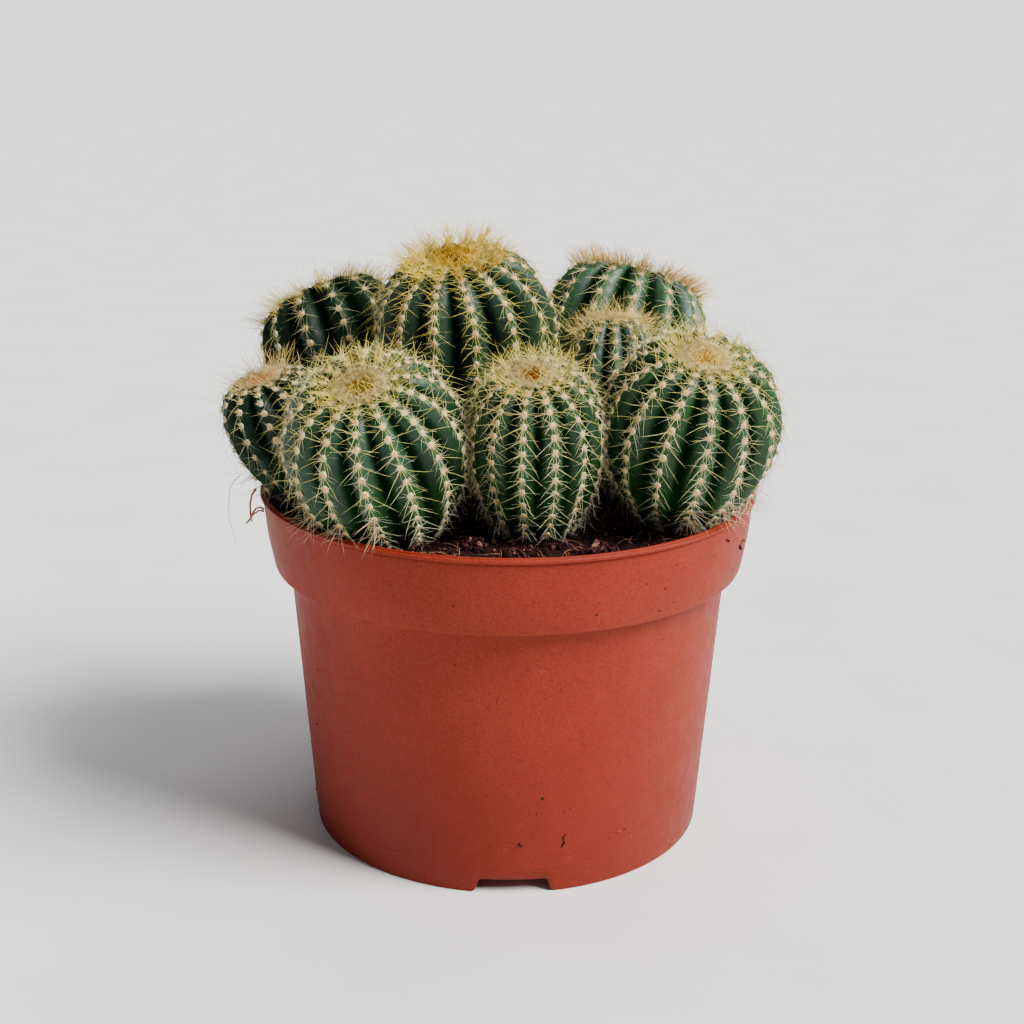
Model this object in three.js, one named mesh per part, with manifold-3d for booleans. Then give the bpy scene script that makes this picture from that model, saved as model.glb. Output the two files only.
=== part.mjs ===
// A clump of ribbed, spiny cactus stems in a round nursery pot.
// Millimetres, +Z up. The pot's foot stands on z = 0, and the origin lies under the middle of
// the whole plant's box. While the pieces are made, the pot's axis is x = 0, y = 0.
import * as THREE from 'three';
import { mergeVertices } from 'three/addons/utils/BufferGeometryUtils.js';
import Module from 'manifold-3d';

const wasm = await Module();
wasm.setup();

// The pot: radii are of its outside.
const POT = {
  height: 123,
  lipRadius: 85,
  lipHeight: 2.2,
  collarTopRadius: 84,
  collarFootRadius: 81.4,
  collarFootHeight: 96.4,
  bodyTopRadius: 76.2,
  footRadius: 69.4,
  wall: 1.3,
  floorUnderside: 4.6,
  floorThickness: 1.4,
  sides: 42,
};
const NOTCH = { count: 4, width: 26, height: 4.3, corner: 1.8, firstAngle: -Math.PI / 2, reach: 12 };
const DRAIN = { count: 6, radius: 4.5, ringRadius: 46, depth: 6, sides: 8 };

// The soil and the room that everything in it keeps.
const SOIL = { top: 117.5, edgeDrop: 2, sectors: 26, rings: 4 };
const LUMPS = { height: 0.54, fineShare: 0.6, x: 0.21, y: 0.17, fineX: 0.31, fineY: 0.43, start: 0.6 };
const GAP = 0.3;
const HOLE_GAP = 0.4;
const HOLE_HEIGHTS = [0, 7, 18];

// The shape that all stems share, as shares of their radius or height.
const FORM = {
  crownPower: 0.85,
  flankPower: 0.9,
  dimple: 0.12,
  dimpleSpread: 0.3,
  furrowTop: 0.19,
  furrowFoot: 0.05,
  fadeFrom: 0.4,
  rootDepth: 11,
  rootShare: 0.9,
};

// The way down a stem's side from its apex to the soil, in stem lengths.
const SIDE_LENGTH = 1.15;

// Areoles and spines. The upward and outward tilts are shares of a spine's length.
const AREOLE = { halfHeight: 0.75, halfWidth: 0.8, firstShare: 0.08, lastShare: 0.92, insetLimit: 0.6 };
const SPINE = {
  topLength: 11.5,
  footLength: 6.5,
  crownLength: 9.5,
  lengthSpread: 0.2,
  outward: 0.8,
  topUpward: 0.25,
  footDownward: 0.38,
  tiltSpread: 0.16,
  sideShare: 0.4,
  sideLimit: 0.75,
  crownSpread: 0.35,
  probes: [0.2, 0.45, 0.7, 1],
  neighbourhood: 30,
  clearance: 1.2,
  bodyClearance: 0.9,
  lipClearance: 1.6,
  shortenings: [1, 0.8, 0.6, 0.45, 0.3],
  lifts: [0, 0.5, 1.1, -0.4],
};

// How finely distances are searched, and the small steps that find the skin's directions.
const SEARCH = { axis: 16, side: 40, spine: 6 };
const SKIN_STEP = { share: 0.02, rib: 0.1 };

// Each stem: where its foot stands, its lean at the foot and at the top in degrees, the heading
// it leans to, its foot's and greatest radius, its length, the height of its widest ring as a
// share of that, its ribs and the turn of the first.
const STEMS = [
  { name: 'stem_front_left', x: -35.6, y: -36.8, footLean: 25, topLean: 29.5, heading: 245,
    foot: 14, radius: 28.6, length: 63, equator: 0.54, ribs: 14, turn: 48.6, rows: 8 },
  { name: 'stem_front_middle', x: 9, y: -41, footLean: 5, topLean: 16, heading: 270,
    foot: 11.1, radius: 21.3, length: 59, equator: 0.54, ribs: 13, turn: -12.5, rows: 7 },
  { name: 'stem_front_right', x: 55, y: -26.3, footLean: 16, topLean: 23, heading: 293.5,
    foot: 9.9, radius: 28.4, length: 66.5, equator: 0.54, ribs: 14, turn: 4.6, rows: 8 },
  { name: 'stem_far_left', x: -53.3, y: -10.4, footLean: 53.4, topLean: 8.5, heading: 190,
    foot: 5.8, radius: 18.8, length: 57, equator: 0.68, ribs: 12, turn: 80, rows: 6 },
  { name: 'stem_back_left', x: -49, y: 30.2, footLean: 19.5, topLean: 30, heading: 137,
    foot: 14.4, radius: 28, length: 75, equator: 0.62, ribs: 13, turn: 148, rows: 7 },
  { name: 'stem_tall_middle', x: -13.6, y: 5, footLean: 3, topLean: 6, heading: 250,
    foot: 15.4, radius: 30.3, length: 88, equator: 0.64, ribs: 14, turn: 28.2, rows: 8 },
  { name: 'stem_back_right', x: 33.5, y: 45.5, footLean: 15, topLean: 22, heading: 52,
    foot: 15.9, radius: 30.8, length: 78.5, equator: 0.6, ribs: 14, turn: 216, rows: 8 },
  { name: 'stem_middle_right', x: 36, y: 3.5, footLean: 2, topLean: 8, heading: 90,
    foot: 8.3, radius: 16, length: 64, equator: 0.54, ribs: 12, turn: 180, rows: 6 },
  { name: 'stem_back_low', x: -8, y: 59, footLean: 10, topLean: 30, heading: 98,
    foot: 8.3, radius: 16, length: 50, equator: 0.54, ribs: 12, turn: 0, rows: 6 },
  { name: 'stem_side_low', x: 64, y: 9, footLean: 12, topLean: 34, heading: 14,
    foot: 7.8, radius: 15, length: 44, equator: 0.54, ribs: 12, turn: 15, rows: 6 },
];

const COLOURS = {
  pot: { color: 0xac4b39, roughness: 0.62, metalness: 0 },
  soil: { color: 0x2a1c17, roughness: 0.95, metalness: 0 },
  stem: { color: 0x24452c, roughness: 0.6, metalness: 0 },
};

const radians = THREE.MathUtils.degToRad;

// A repeatable draw of numbers from 0 to 1.
function draws(seed) {
  let state = seed;
  return () => {
    state = (Math.imul(state, 1664525) + 1013904223) >>> 0;
    return state / 4294967296;
  };
}

// A closed three.js geometry as a solid, and back.
function toSolid(geometry) {
  const bare = geometry.clone();
  bare.deleteAttribute('normal');
  bare.deleteAttribute('uv');
  const merged = mergeVertices(bare, 1e-4);
  return new wasm.Manifold(new wasm.Mesh({
    numProp: 3,
    vertProperties: new Float32Array(merged.attributes.position.array),
    triVerts: new Uint32Array(merged.index.array),
  }));
}

function toGeometry(solid) {
  const mesh = solid.getMesh();
  const geometry = new THREE.BufferGeometry();
  geometry.setAttribute('position', new THREE.BufferAttribute(mesh.vertProperties, 3));
  geometry.setIndex(new THREE.BufferAttribute(mesh.triVerts, 1));
  geometry.computeVertexNormals();
  return geometry;
}

// Vertices and triangles gathered by hand.
class Faces {
  constructor() {
    this.points = [];
    this.triangles = [];
  }

  add(point) {
    this.points.push(point);
    return this.points.length - 1;
  }

  face(...corners) {
    this.triangles.push(corners);
  }

  geometry() {
    const geometry = new THREE.BufferGeometry();
    const flat = this.points.flatMap((p) => [p.x, p.y, p.z]);
    geometry.setAttribute('position', new THREE.Float32BufferAttribute(flat, 3));
    geometry.setIndex(this.triangles.flat());
    geometry.computeVertexNormals();
    return geometry;
  }
}

// A profile of radius and height turned about Z.
function turned(outline, sides) {
  const geometry = new THREE.LatheGeometry(outline.map(([r, z]) => new THREE.Vector2(r, z)), sides);
  return geometry.rotateX(Math.PI / 2);
}

// The pot

function potProfile() {
  const p = POT;
  const lipFoot = p.height - p.lipHeight;
  const floorTop = p.floorUnderside + p.floorThickness;
  const slope = (p.bodyTopRadius - p.footRadius) / p.collarFootHeight;
  const innerFloorRadius = p.footRadius + slope * floorTop - p.wall;
  return [
    [0, p.floorUnderside],
    [p.footRadius - p.wall, p.floorUnderside],
    [p.footRadius - p.wall, 0],
    [p.footRadius, 0],
    [p.bodyTopRadius, p.collarFootHeight],
    [p.collarFootRadius, p.collarFootHeight],
    [p.collarTopRadius, lipFoot],
    [p.lipRadius, lipFoot],
    [p.lipRadius, p.height],
    [p.collarTopRadius - p.wall, p.height],
    [p.collarFootRadius - p.wall, p.collarFootHeight + p.wall],
    [p.bodyTopRadius - p.wall, p.collarFootHeight - p.wall],
    [innerFloorRadius, floorTop],
    [0, floorTop],
  ];
}

function notchCutter(angle) {
  const { width, height, corner, reach } = NOTCH;
  const half = width / 2;
  const outline = new THREE.Shape();
  outline.moveTo(-half, -1);
  outline.lineTo(half, -1);
  outline.lineTo(half, height - corner);
  outline.absarc(half - corner, height - corner, corner, 0, Math.PI / 2, false);
  outline.absarc(corner - half, height - corner, corner, Math.PI / 2, Math.PI, false);
  outline.closePath();
  const block = new THREE.ExtrudeGeometry(outline, { depth: reach, bevelEnabled: false, curveSegments: 3 });
  block.rotateX(Math.PI / 2);
  block.translate(0, POT.footRadius + reach / 2, 0);
  block.rotateZ(angle - Math.PI / 2);
  return toSolid(block);
}

function drainCutter(radius, angle) {
  const hole = new THREE.CylinderGeometry(DRAIN.radius, DRAIN.radius, DRAIN.depth, DRAIN.sides);
  hole.rotateX(Math.PI / 2);
  hole.translate(radius * Math.cos(angle), radius * Math.sin(angle), POT.floorUnderside);
  return toSolid(hole);
}

function potGeometry() {
  let pot = toSolid(turned(potProfile(), POT.sides));
  for (let i = 0; i < NOTCH.count; i += 1) {
    pot = pot.subtract(notchCutter(NOTCH.firstAngle + (i * 2 * Math.PI) / NOTCH.count));
  }
  pot = pot.subtract(drainCutter(0, 0));
  for (let i = 0; i < DRAIN.count; i += 1) {
    pot = pot.subtract(drainCutter(DRAIN.ringRadius, ((i + 0.5) * 2 * Math.PI) / DRAIN.count));
  }
  return toGeometry(pot);
}

// The stems' shape

// The stem's bent axis at a height along it: the point, the direction of the lean, the
// direction across it and the direction along the stem.
function axisAt(stem, along) {
  const heading = radians(stem.heading);
  const lean0 = radians(stem.footLean);
  const bend = (radians(stem.topLean) - lean0) / stem.length;
  const lean = lean0 + bend * along;
  const out = (Math.cos(lean0) - Math.cos(lean)) / bend;
  const up = (Math.sin(lean) - Math.sin(lean0)) / bend;
  const flat = new THREE.Vector3(Math.cos(heading), Math.sin(heading), 0);
  const point = new THREE.Vector3(stem.x, stem.y, SOIL.top + up).addScaledVector(flat, out);
  const forward = flat.clone().multiplyScalar(Math.cos(lean));
  forward.z = -Math.sin(lean);
  const axis = flat.clone().multiplyScalar(Math.sin(lean));
  axis.z = Math.cos(lean);
  const across = new THREE.Vector3().crossVectors(axis, forward);
  return { point, forward, across, axis };
}

// Crest radius and height along the axis at a share of the side: 0 the apex, 1 the soil.
function crestAt(stem, share) {
  const equator = stem.equator * stem.length;
  if (share < 0.5) {
    const turn = share * Math.PI;
    const r = stem.radius * Math.sin(turn) ** FORM.crownPower;
    const sunk = FORM.dimple * stem.radius * Math.exp(-((r / (FORM.dimpleSpread * stem.radius)) ** 2));
    return { r, along: equator + (stem.length - equator) * Math.cos(turn) ** FORM.crownPower - sunk };
  }
  const down = 2 * share - 1;
  const narrowing = Math.max(0, Math.cos((down * Math.PI) / 2)) ** FORM.flankPower;
  return { r: stem.foot + (stem.radius - stem.foot) * narrowing, along: equator * (1 - down) };
}

// How deep the furrows are at a share of the side, as a share of the radius.
function furrowDepth(share) {
  const fade = THREE.MathUtils.smoothstep(share, FORM.fadeFrom, 1);
  return FORM.furrowTop + (FORM.furrowFoot - FORM.furrowTop) * fade;
}

// A point of the skin. The angle is in ribs: whole numbers are crests, halves are furrows.
function skinAt(stem, share, rib) {
  const { r, along } = crestAt(stem, share);
  const angle = radians(stem.turn) + (rib * 2 * Math.PI) / stem.ribs;
  const dip = furrowDepth(share) * (1 - Math.abs(Math.cos(rib * Math.PI)));
  return ringPoint(stem, along, r * (1 - dip), angle);
}

function ringPoint(stem, along, r, angle) {
  const { point, forward, across } = axisAt(stem, along);
  return point
    .addScaledVector(forward, r * Math.cos(angle))
    .addScaledVector(across, r * Math.sin(angle));
}

// How far a point is outside a stem's crests, in millimetres, negative inside.
function distanceTo(stem, point) {
  let best = null;
  for (let i = 0; i <= SEARCH.axis; i += 1) {
    const along = (stem.length * i) / SEARCH.axis;
    const { point: centre, axis } = axisAt(stem, along);
    const offset = point.clone().sub(centre);
    const rise = offset.dot(axis);
    if (!best || Math.abs(rise) < Math.abs(best.rise)) {
      best = { rise, height: along + rise, r: Math.sqrt(Math.max(0, offset.lengthSq() - rise * rise)) };
    }
  }
  let nearest = Infinity;
  let inside = false;
  for (let i = 0; i < SEARCH.side; i += 1) {
    const here = crestAt(stem, i / SEARCH.side);
    const next = crestAt(stem, (i + 1) / SEARCH.side);
    nearest = Math.min(nearest, Math.hypot(best.r - here.r, best.height - here.along));
    const between = (best.height - next.along) / (here.along - next.along);
    if (between >= 0 && between <= 1 && best.r < next.r + (here.r - next.r) * between) inside = true;
  }
  return inside ? -nearest : nearest;
}

// The spines' directions

function nearestBetween(a, b) {
  const first = new THREE.Vector3();
  const second = new THREE.Vector3();
  let nearest = Infinity;
  for (let i = 1; i <= SEARCH.spine; i += 1) {
    first.lerpVectors(a.root, a.tip, i / SEARCH.spine);
    new THREE.Line3(b.root, b.tip).closestPointToPoint(first, true, second);
    nearest = Math.min(nearest, first.distanceTo(second));
  }
  return nearest;
}

function meetsPot(point) {
  const out = Math.hypot(point.x, point.y);
  const inSoil = out < POT.lipRadius && point.z < SOIL.top + SPINE.lipClearance;
  const nearLip = Math.abs(out - POT.collarTopRadius) < POT.wall + SPINE.lipClearance;
  return inSoil || (nearLip && point.z < POT.height + SPINE.lipClearance);
}

// True where a spine keeps clear of the pot, the soil, the other stems and all spines so far.
function isClear(spine, owner, placed) {
  const point = new THREE.Vector3();
  for (const share of SPINE.probes) {
    point.lerpVectors(spine.root, spine.tip, share);
    if (meetsPot(point)) return false;
    for (const stem of STEMS) {
      if (stem !== owner && distanceTo(stem, point) < SPINE.bodyClearance) return false;
    }
  }
  return placed.every((other) => other.root.distanceTo(spine.root) > SPINE.neighbourhood
    || nearestBetween(spine, other) > SPINE.clearance);
}

// The first of a few lengths and lifts that is clear, or null.
function clearSpine(root, direction, lift, length, owner, placed) {
  for (const shorter of SPINE.shortenings) {
    for (const raise of SPINE.lifts) {
      const way = direction.clone().addScaledVector(lift, raise).normalize();
      const spine = { root, tip: root.clone().addScaledVector(way, length * shorter), owner };
      if (isClear(spine, owner, placed)) return spine;
    }
  }
  return null;
}

// Outward, sideways and upward directions of the skin on a crest.
function skinFrame(stem, share, rib) {
  const below = skinAt(stem, share + SKIN_STEP.share, rib);
  const above = skinAt(stem, share - SKIN_STEP.share, rib);
  const left = skinAt(stem, share, rib - SKIN_STEP.rib);
  const right = skinAt(stem, share, rib + SKIN_STEP.rib);
  const up = above.sub(below).normalize();
  const side = right.sub(left).normalize();
  return { up, side, out: new THREE.Vector3().crossVectors(side, up).normalize() };
}

// Turns a triangle of the skin into a three-sided spine, or leaves it flat.
function growSpine(faces, corners, direction, lift, length, stem, placed) {
  const root = corners.reduce((sum, i) => sum.add(faces.points[i]), new THREE.Vector3()).divideScalar(3);
  const spine = clearSpine(root, direction, lift, length, stem, placed);
  const [a, b, c] = corners;
  if (!spine) {
    faces.face(a, b, c);
    return;
  }
  placed.push(spine);
  const tip = faces.add(spine.tip);
  faces.face(a, b, tip);
  faces.face(b, c, tip);
  faces.face(c, a, tip);
}

// The two spines of one areole, to the left and to the right of its crest.
function growPair(faces, areole, stem, share, rib, placed, draw) {
  const { up, side, out } = skinFrame(stem, share, rib);
  const varied = 1 + SPINE.lengthSpread * (draw() - 0.5);
  const length = THREE.MathUtils.lerp(SPINE.topLength, SPINE.footLength, share) * varied;
  const ribWidth = (2 * Math.PI * crestAt(stem, share).r) / stem.ribs;
  const sideways = Math.min(SPINE.sideLimit, (SPINE.sideShare * ribWidth) / length);
  const tilt = THREE.MathUtils.lerp(SPINE.topUpward, -SPINE.footDownward, share);
  const { top, bottom, left, right } = areole;
  for (const [corners, sign] of [[[bottom, right, top], 1], [[bottom, top, left], -1]]) {
    const direction = out.clone().multiplyScalar(SPINE.outward)
      .addScaledVector(side, sign * sideways)
      .addScaledVector(up, tilt + SPINE.tiltSpread * (draw() - 0.5));
    growSpine(faces, corners, direction, up, length, stem, placed);
  }
}

// One stem: ribs, areoles on the crests and spines on the areoles, down to its buried root.
function stemGeometry(stem, placed, draw) {
  const faces = new Faces();
  const n = stem.ribs;
  const step = (AREOLE.lastShare - AREOLE.firstShare) / (stem.rows - 1);
  const wrap = (list, i) => list[(i + n) % n];

  const rowsOf = (make) => Array.from({ length: stem.rows }, (_, row) => {
    const share = AREOLE.firstShare + row * step;
    return Array.from({ length: n }, (__, rib) => make(share, rib));
  });
  const furrows = rowsOf((share, rib) => faces.add(skinAt(stem, share, rib + 0.5)));
  const areoles = rowsOf((share, rib) => {
    const { r } = crestAt(stem, share);
    const halfShare = AREOLE.halfHeight / (SIDE_LENGTH * stem.length);
    const halfRib = (AREOLE.halfWidth * n) / (2 * Math.PI * r);
    return {
      top: faces.add(skinAt(stem, share - halfShare, rib)),
      bottom: faces.add(skinAt(stem, share + halfShare, rib)),
      left: faces.add(skinAt(stem, share, rib - halfRib)),
      right: faces.add(skinAt(stem, share, rib + halfRib)),
    };
  });

  // The skin between the rows.
  for (let row = 0; row + 1 < stem.rows; row += 1) {
    for (let i = 0; i < n; i += 1) {
      const upper = areoles[row][i];
      const lower = areoles[row + 1][i];
      const [rightTop, rightLow] = [furrows[row][i], furrows[row + 1][i]];
      const [leftTop, leftLow] = [wrap(furrows[row], i - 1), wrap(furrows[row + 1], i - 1)];
      faces.face(lower.top, lower.right, upper.right);
      faces.face(lower.top, upper.right, upper.bottom);
      faces.face(lower.right, rightLow, rightTop);
      faces.face(lower.right, rightTop, upper.right);
      faces.face(lower.left, lower.top, upper.bottom);
      faces.face(lower.left, upper.bottom, upper.left);
      faces.face(leftLow, lower.left, upper.left);
      faces.face(leftLow, upper.left, leftTop);
    }
  }

  closeCrown(faces, stem, areoles[0], furrows[0], placed);
  closeRoot(faces, stem, areoles[stem.rows - 1], furrows[stem.rows - 1]);

  areoles.forEach((ring, row) => {
    const share = AREOLE.firstShare + row * step;
    ring.forEach((areole, rib) => growPair(faces, areole, stem, share, rib, placed, draw));
  });
  return faces.geometry();
}

// A small triangle in the middle of a larger one, with the skin around it.
function insetTriangle(faces, corners) {
  const points = corners.map((i) => faces.points[i]);
  const middle = points.reduce((sum, p) => sum.add(p), new THREE.Vector3()).divideScalar(3);
  const inner = points.map((p) => {
    const share = Math.min(AREOLE.insetLimit, AREOLE.halfHeight / p.distanceTo(middle));
    return faces.add(middle.clone().lerp(p, share));
  });
  for (let i = 0; i < 3; i += 1) {
    const j = (i + 1) % 3;
    faces.face(corners[i], corners[j], inner[j]);
    faces.face(corners[i], inner[j], inner[i]);
  }
  return inner;
}

// The sunken top, closed by a brush of upright spines, one beside each rib.
function closeCrown(faces, stem, areoles, furrows, placed) {
  const { axis } = axisAt(stem, stem.length);
  const apex = faces.add(skinAt(stem, 0, 0));
  const n = stem.ribs;
  for (let i = 0; i < n; i += 1) {
    const { top, left, right } = areoles[i];
    const before = furrows[(i + n - 1) % n];
    faces.face(right, furrows[i], top);
    faces.face(before, left, top);
    faces.face(before, top, apex);
    const spread = faces.points[top].clone().sub(faces.points[apex]).normalize();
    const direction = axis.clone().addScaledVector(spread, SPINE.crownSpread);
    const corners = insetTriangle(faces, [top, furrows[i], apex]);
    growSpine(faces, corners, direction, axis, SPINE.crownLength, stem, placed);
  }
}

// The foot at the soil and the plain root below it.
function closeRoot(faces, stem, areoles, furrows) {
  const n = stem.ribs;
  const ring = (make) => Array.from({ length: n }, (_, i) => faces.add(make(i)));
  const buried = (i) => {
    const angle = radians(stem.turn) + (i * 2 * Math.PI) / n;
    return ringPoint(stem, -FORM.rootDepth, FORM.rootShare * stem.foot, angle);
  };
  const crest = ring((i) => skinAt(stem, 1, i));
  const furrow = ring((i) => skinAt(stem, 1, i + 0.5));
  const lowCrest = ring((i) => buried(i));
  const lowFurrow = ring((i) => buried(i + 0.5));
  const end = faces.add(axisAt(stem, -FORM.rootDepth).point);
  for (let i = 0; i < n; i += 1) {
    const before = (i + n - 1) % n;
    const { bottom, left, right } = areoles[i];
    faces.face(crest[i], right, bottom);
    faces.face(crest[i], furrow[i], right);
    faces.face(furrow[i], furrows[i], right);
    faces.face(crest[i], bottom, left);
    faces.face(furrow[before], crest[i], left);
    faces.face(furrow[before], left, furrows[before]);
    faces.face(lowCrest[i], lowFurrow[i], furrow[i]);
    faces.face(lowCrest[i], furrow[i], crest[i]);
    faces.face(lowFurrow[before], lowCrest[i], crest[i]);
    faces.face(lowFurrow[before], crest[i], furrow[before]);
    faces.face(lowFurrow[i], lowCrest[i], end);
    faces.face(lowCrest[i], lowFurrow[before], end);
  }
}

// The soil

// The plain hole that a stem stands in: round, a little wider than the stem everywhere.
function holeCutter(stem) {
  const faces = new Faces();
  const sides = stem.ribs;
  const widen = 1 / Math.cos(Math.PI / sides);
  const heights = [-FORM.rootDepth - 2 * HOLE_GAP, ...HOLE_HEIGHTS];
  const equator = stem.equator * stem.length;
  const rings = heights.map((along) => {
    const root = FORM.rootShare * stem.foot;
    const r = along < 0 ? root : crestAt(stem, 1 - along / (2 * equator)).r;
    return Array.from({ length: sides }, (_, i) => {
      const angle = radians(stem.turn) + (i * 2 * Math.PI) / sides;
      return faces.add(ringPoint(stem, along, (r + HOLE_GAP) * widen, angle));
    });
  });
  const low = faces.add(axisAt(stem, heights[0]).point);
  const high = faces.add(axisAt(stem, heights[heights.length - 1]).point);
  for (let i = 0; i < sides; i += 1) {
    const j = (i + 1) % sides;
    for (let k = 0; k + 1 < rings.length; k += 1) {
      faces.face(rings[k][i], rings[k][j], rings[k + 1][j]);
      faces.face(rings[k][i], rings[k + 1][j], rings[k + 1][i]);
    }
    faces.face(rings[0][j], rings[0][i], low);
    faces.face(rings[rings.length - 1][i], rings[rings.length - 1][j], high);
  }
  return toSolid(faces.geometry());
}

// A gently lumpy top.
function soilHeight(x, y) {
  const broad = Math.sin(LUMPS.x * x + LUMPS.start) * Math.cos(LUMPS.y * y);
  const fine = LUMPS.fineShare * Math.sin(LUMPS.fineY * y - LUMPS.fineX * x);
  return SOIL.top + LUMPS.height * (broad + fine);
}

function soilGeometry() {
  const p = POT;
  const faces = new Faces();
  const floor = p.floorUnderside + p.floorThickness + GAP;
  const slope = (p.bodyTopRadius - p.footRadius) / p.collarFootHeight;
  const inside = p.wall + 2 * GAP;
  const shoulder = p.collarFootHeight;
  const collarSlope = (p.collarTopRadius - p.collarFootRadius) / (p.height - p.lipHeight - shoulder);
  const rimRadius = p.collarFootRadius - inside + collarSlope * (SOIL.top - SOIL.edgeDrop - shoulder);
  const point = (r, z, sector) => {
    const angle = (sector * 2 * Math.PI) / SOIL.sectors;
    return new THREE.Vector3(r * Math.cos(angle), r * Math.sin(angle), z);
  };
  const ring = (make) => Array.from({ length: SOIL.sectors }, (_, i) => faces.add(make(i)));
  const sideRings = [
    ring((i) => point(p.footRadius + slope * floor - inside, floor, i)),
    ring((i) => point(p.bodyTopRadius - inside, shoulder - p.wall, i)),
    ring((i) => point(p.collarFootRadius - inside, shoulder + p.wall + 2 * GAP, i)),
  ];
  for (let k = 0; k < SOIL.rings; k += 1) {
    const r = rimRadius * (1 - k / SOIL.rings);
    sideRings.push(ring((i) => {
      const at = point(r, 0, i);
      at.z = soilHeight(at.x, at.y);
      return at;
    }));
  }
  const bottom = faces.add(new THREE.Vector3(0, 0, floor));
  const top = faces.add(new THREE.Vector3(0, 0, soilHeight(0, 0)));
  for (let i = 0; i < SOIL.sectors; i += 1) {
    const j = (i + 1) % SOIL.sectors;
    for (let k = 0; k + 1 < sideRings.length; k += 1) {
      faces.face(sideRings[k][i], sideRings[k][j], sideRings[k + 1][j]);
      faces.face(sideRings[k][i], sideRings[k + 1][j], sideRings[k + 1][i]);
    }
    faces.face(sideRings[0][j], sideRings[0][i], bottom);
    faces.face(sideRings[sideRings.length - 1][i], sideRings[sideRings.length - 1][j], top);
  }
  let soil = toSolid(faces.geometry());
  for (const stem of STEMS) soil = soil.subtract(holeCutter(stem));
  return toGeometry(soil);
}

// The whole plant

function mesh(name, geometry, finish) {
  const piece = new THREE.Mesh(geometry, new THREE.MeshStandardMaterial({ ...finish, flatShading: true }));
  piece.name = name;
  return piece;
}

function build() {
  const plant = new THREE.Group();
  plant.add(mesh('pot', potGeometry(), COLOURS.pot));
  plant.add(mesh('soil', soilGeometry(), COLOURS.soil));
  const placed = [];
  STEMS.forEach((stem, i) => {
    plant.add(mesh(stem.name, stemGeometry(stem, placed, draws(71 + i)), COLOURS.stem));
  });
  const middle = new THREE.Box3().setFromObject(plant).getCenter(new THREE.Vector3());
  plant.position.set(-middle.x, -middle.y, 0);
  plant.updateMatrixWorld(true);
  const whole = new THREE.Group();
  whole.add(plant);
  return whole;
}

export default build();
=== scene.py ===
import math
from types import SimpleNamespace as Table

import bpy
import numpy as np
from mathutils import Matrix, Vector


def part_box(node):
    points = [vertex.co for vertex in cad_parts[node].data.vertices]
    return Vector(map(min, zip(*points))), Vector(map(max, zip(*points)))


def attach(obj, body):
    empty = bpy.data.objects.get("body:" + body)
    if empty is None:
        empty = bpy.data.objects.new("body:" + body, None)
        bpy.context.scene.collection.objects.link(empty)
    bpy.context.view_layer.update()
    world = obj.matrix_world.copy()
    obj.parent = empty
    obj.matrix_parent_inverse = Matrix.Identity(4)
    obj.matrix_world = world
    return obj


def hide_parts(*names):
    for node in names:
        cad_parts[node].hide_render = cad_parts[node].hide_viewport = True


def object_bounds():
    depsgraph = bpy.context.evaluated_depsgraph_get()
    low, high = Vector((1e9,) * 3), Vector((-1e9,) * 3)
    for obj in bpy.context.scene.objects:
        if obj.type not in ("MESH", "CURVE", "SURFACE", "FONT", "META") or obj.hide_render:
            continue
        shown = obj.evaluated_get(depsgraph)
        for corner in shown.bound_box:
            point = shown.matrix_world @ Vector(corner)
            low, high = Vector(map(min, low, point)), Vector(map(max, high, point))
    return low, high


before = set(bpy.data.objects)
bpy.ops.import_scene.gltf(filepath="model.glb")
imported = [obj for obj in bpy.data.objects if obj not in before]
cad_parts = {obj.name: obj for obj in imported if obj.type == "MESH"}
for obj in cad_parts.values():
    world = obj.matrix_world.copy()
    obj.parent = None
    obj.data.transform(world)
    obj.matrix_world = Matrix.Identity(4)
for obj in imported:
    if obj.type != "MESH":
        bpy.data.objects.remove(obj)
CAD_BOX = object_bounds()

MM = 0.001
TURN = 2 * math.pi
UP = np.array([0.0, 0.0, 1.0])
POT_LOW, POT_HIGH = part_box("pot")
POT_AXIS = np.array([(POT_LOW.x + POT_HIGH.x) / 2, (POT_LOW.y + POT_HIGH.y) / 2, 0.0])
BOX_LOW, BOX_HIGH = [(np.array(corner) - POT_AXIS) / MM for corner in CAD_BOX]
BOX_SLACK = 0.3

# Where each series of random numbers starts.
SEED = Table(dirt=21, crumbs=31, fibres=32, stems=11, areoles=1, wool=3, spines=4, ripple=900)

# The pot: radii are of its outside.
POT = Table(
    height=123.0, lip_radius=86.2, lip_height=1.7, collar_top=85.3, collar_mid=84.1,
    mid_height=108.0, collar_foot=81.8, collar_height=96.4, body_top=76.7, foot=69.4, wall=1.3,
    floor=4.6, floor_top=6.0, ridge=9.6, foot_edge=1.0, sectors=200, notches=4,
    notch_turn=math.radians(2.2),
)
# Half width and height of a foot notch, from its middle outwards.
NOTCH_EDGE = [
    (0.0, 4.9), (5.0, 4.9), (10.0, 4.9), (10.8, 4.8), (11.4, 4.45), (11.8, 3.8), (12.2, 2.2),
    (12.55, 1.2), (13.1, 0.5), (13.9, 0.1), (14.6, 0.0),
]
DRAIN = Table(count=6, radius=4.5, ring=46.0, points=40, floor_points=160, soft=0.2)

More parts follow.
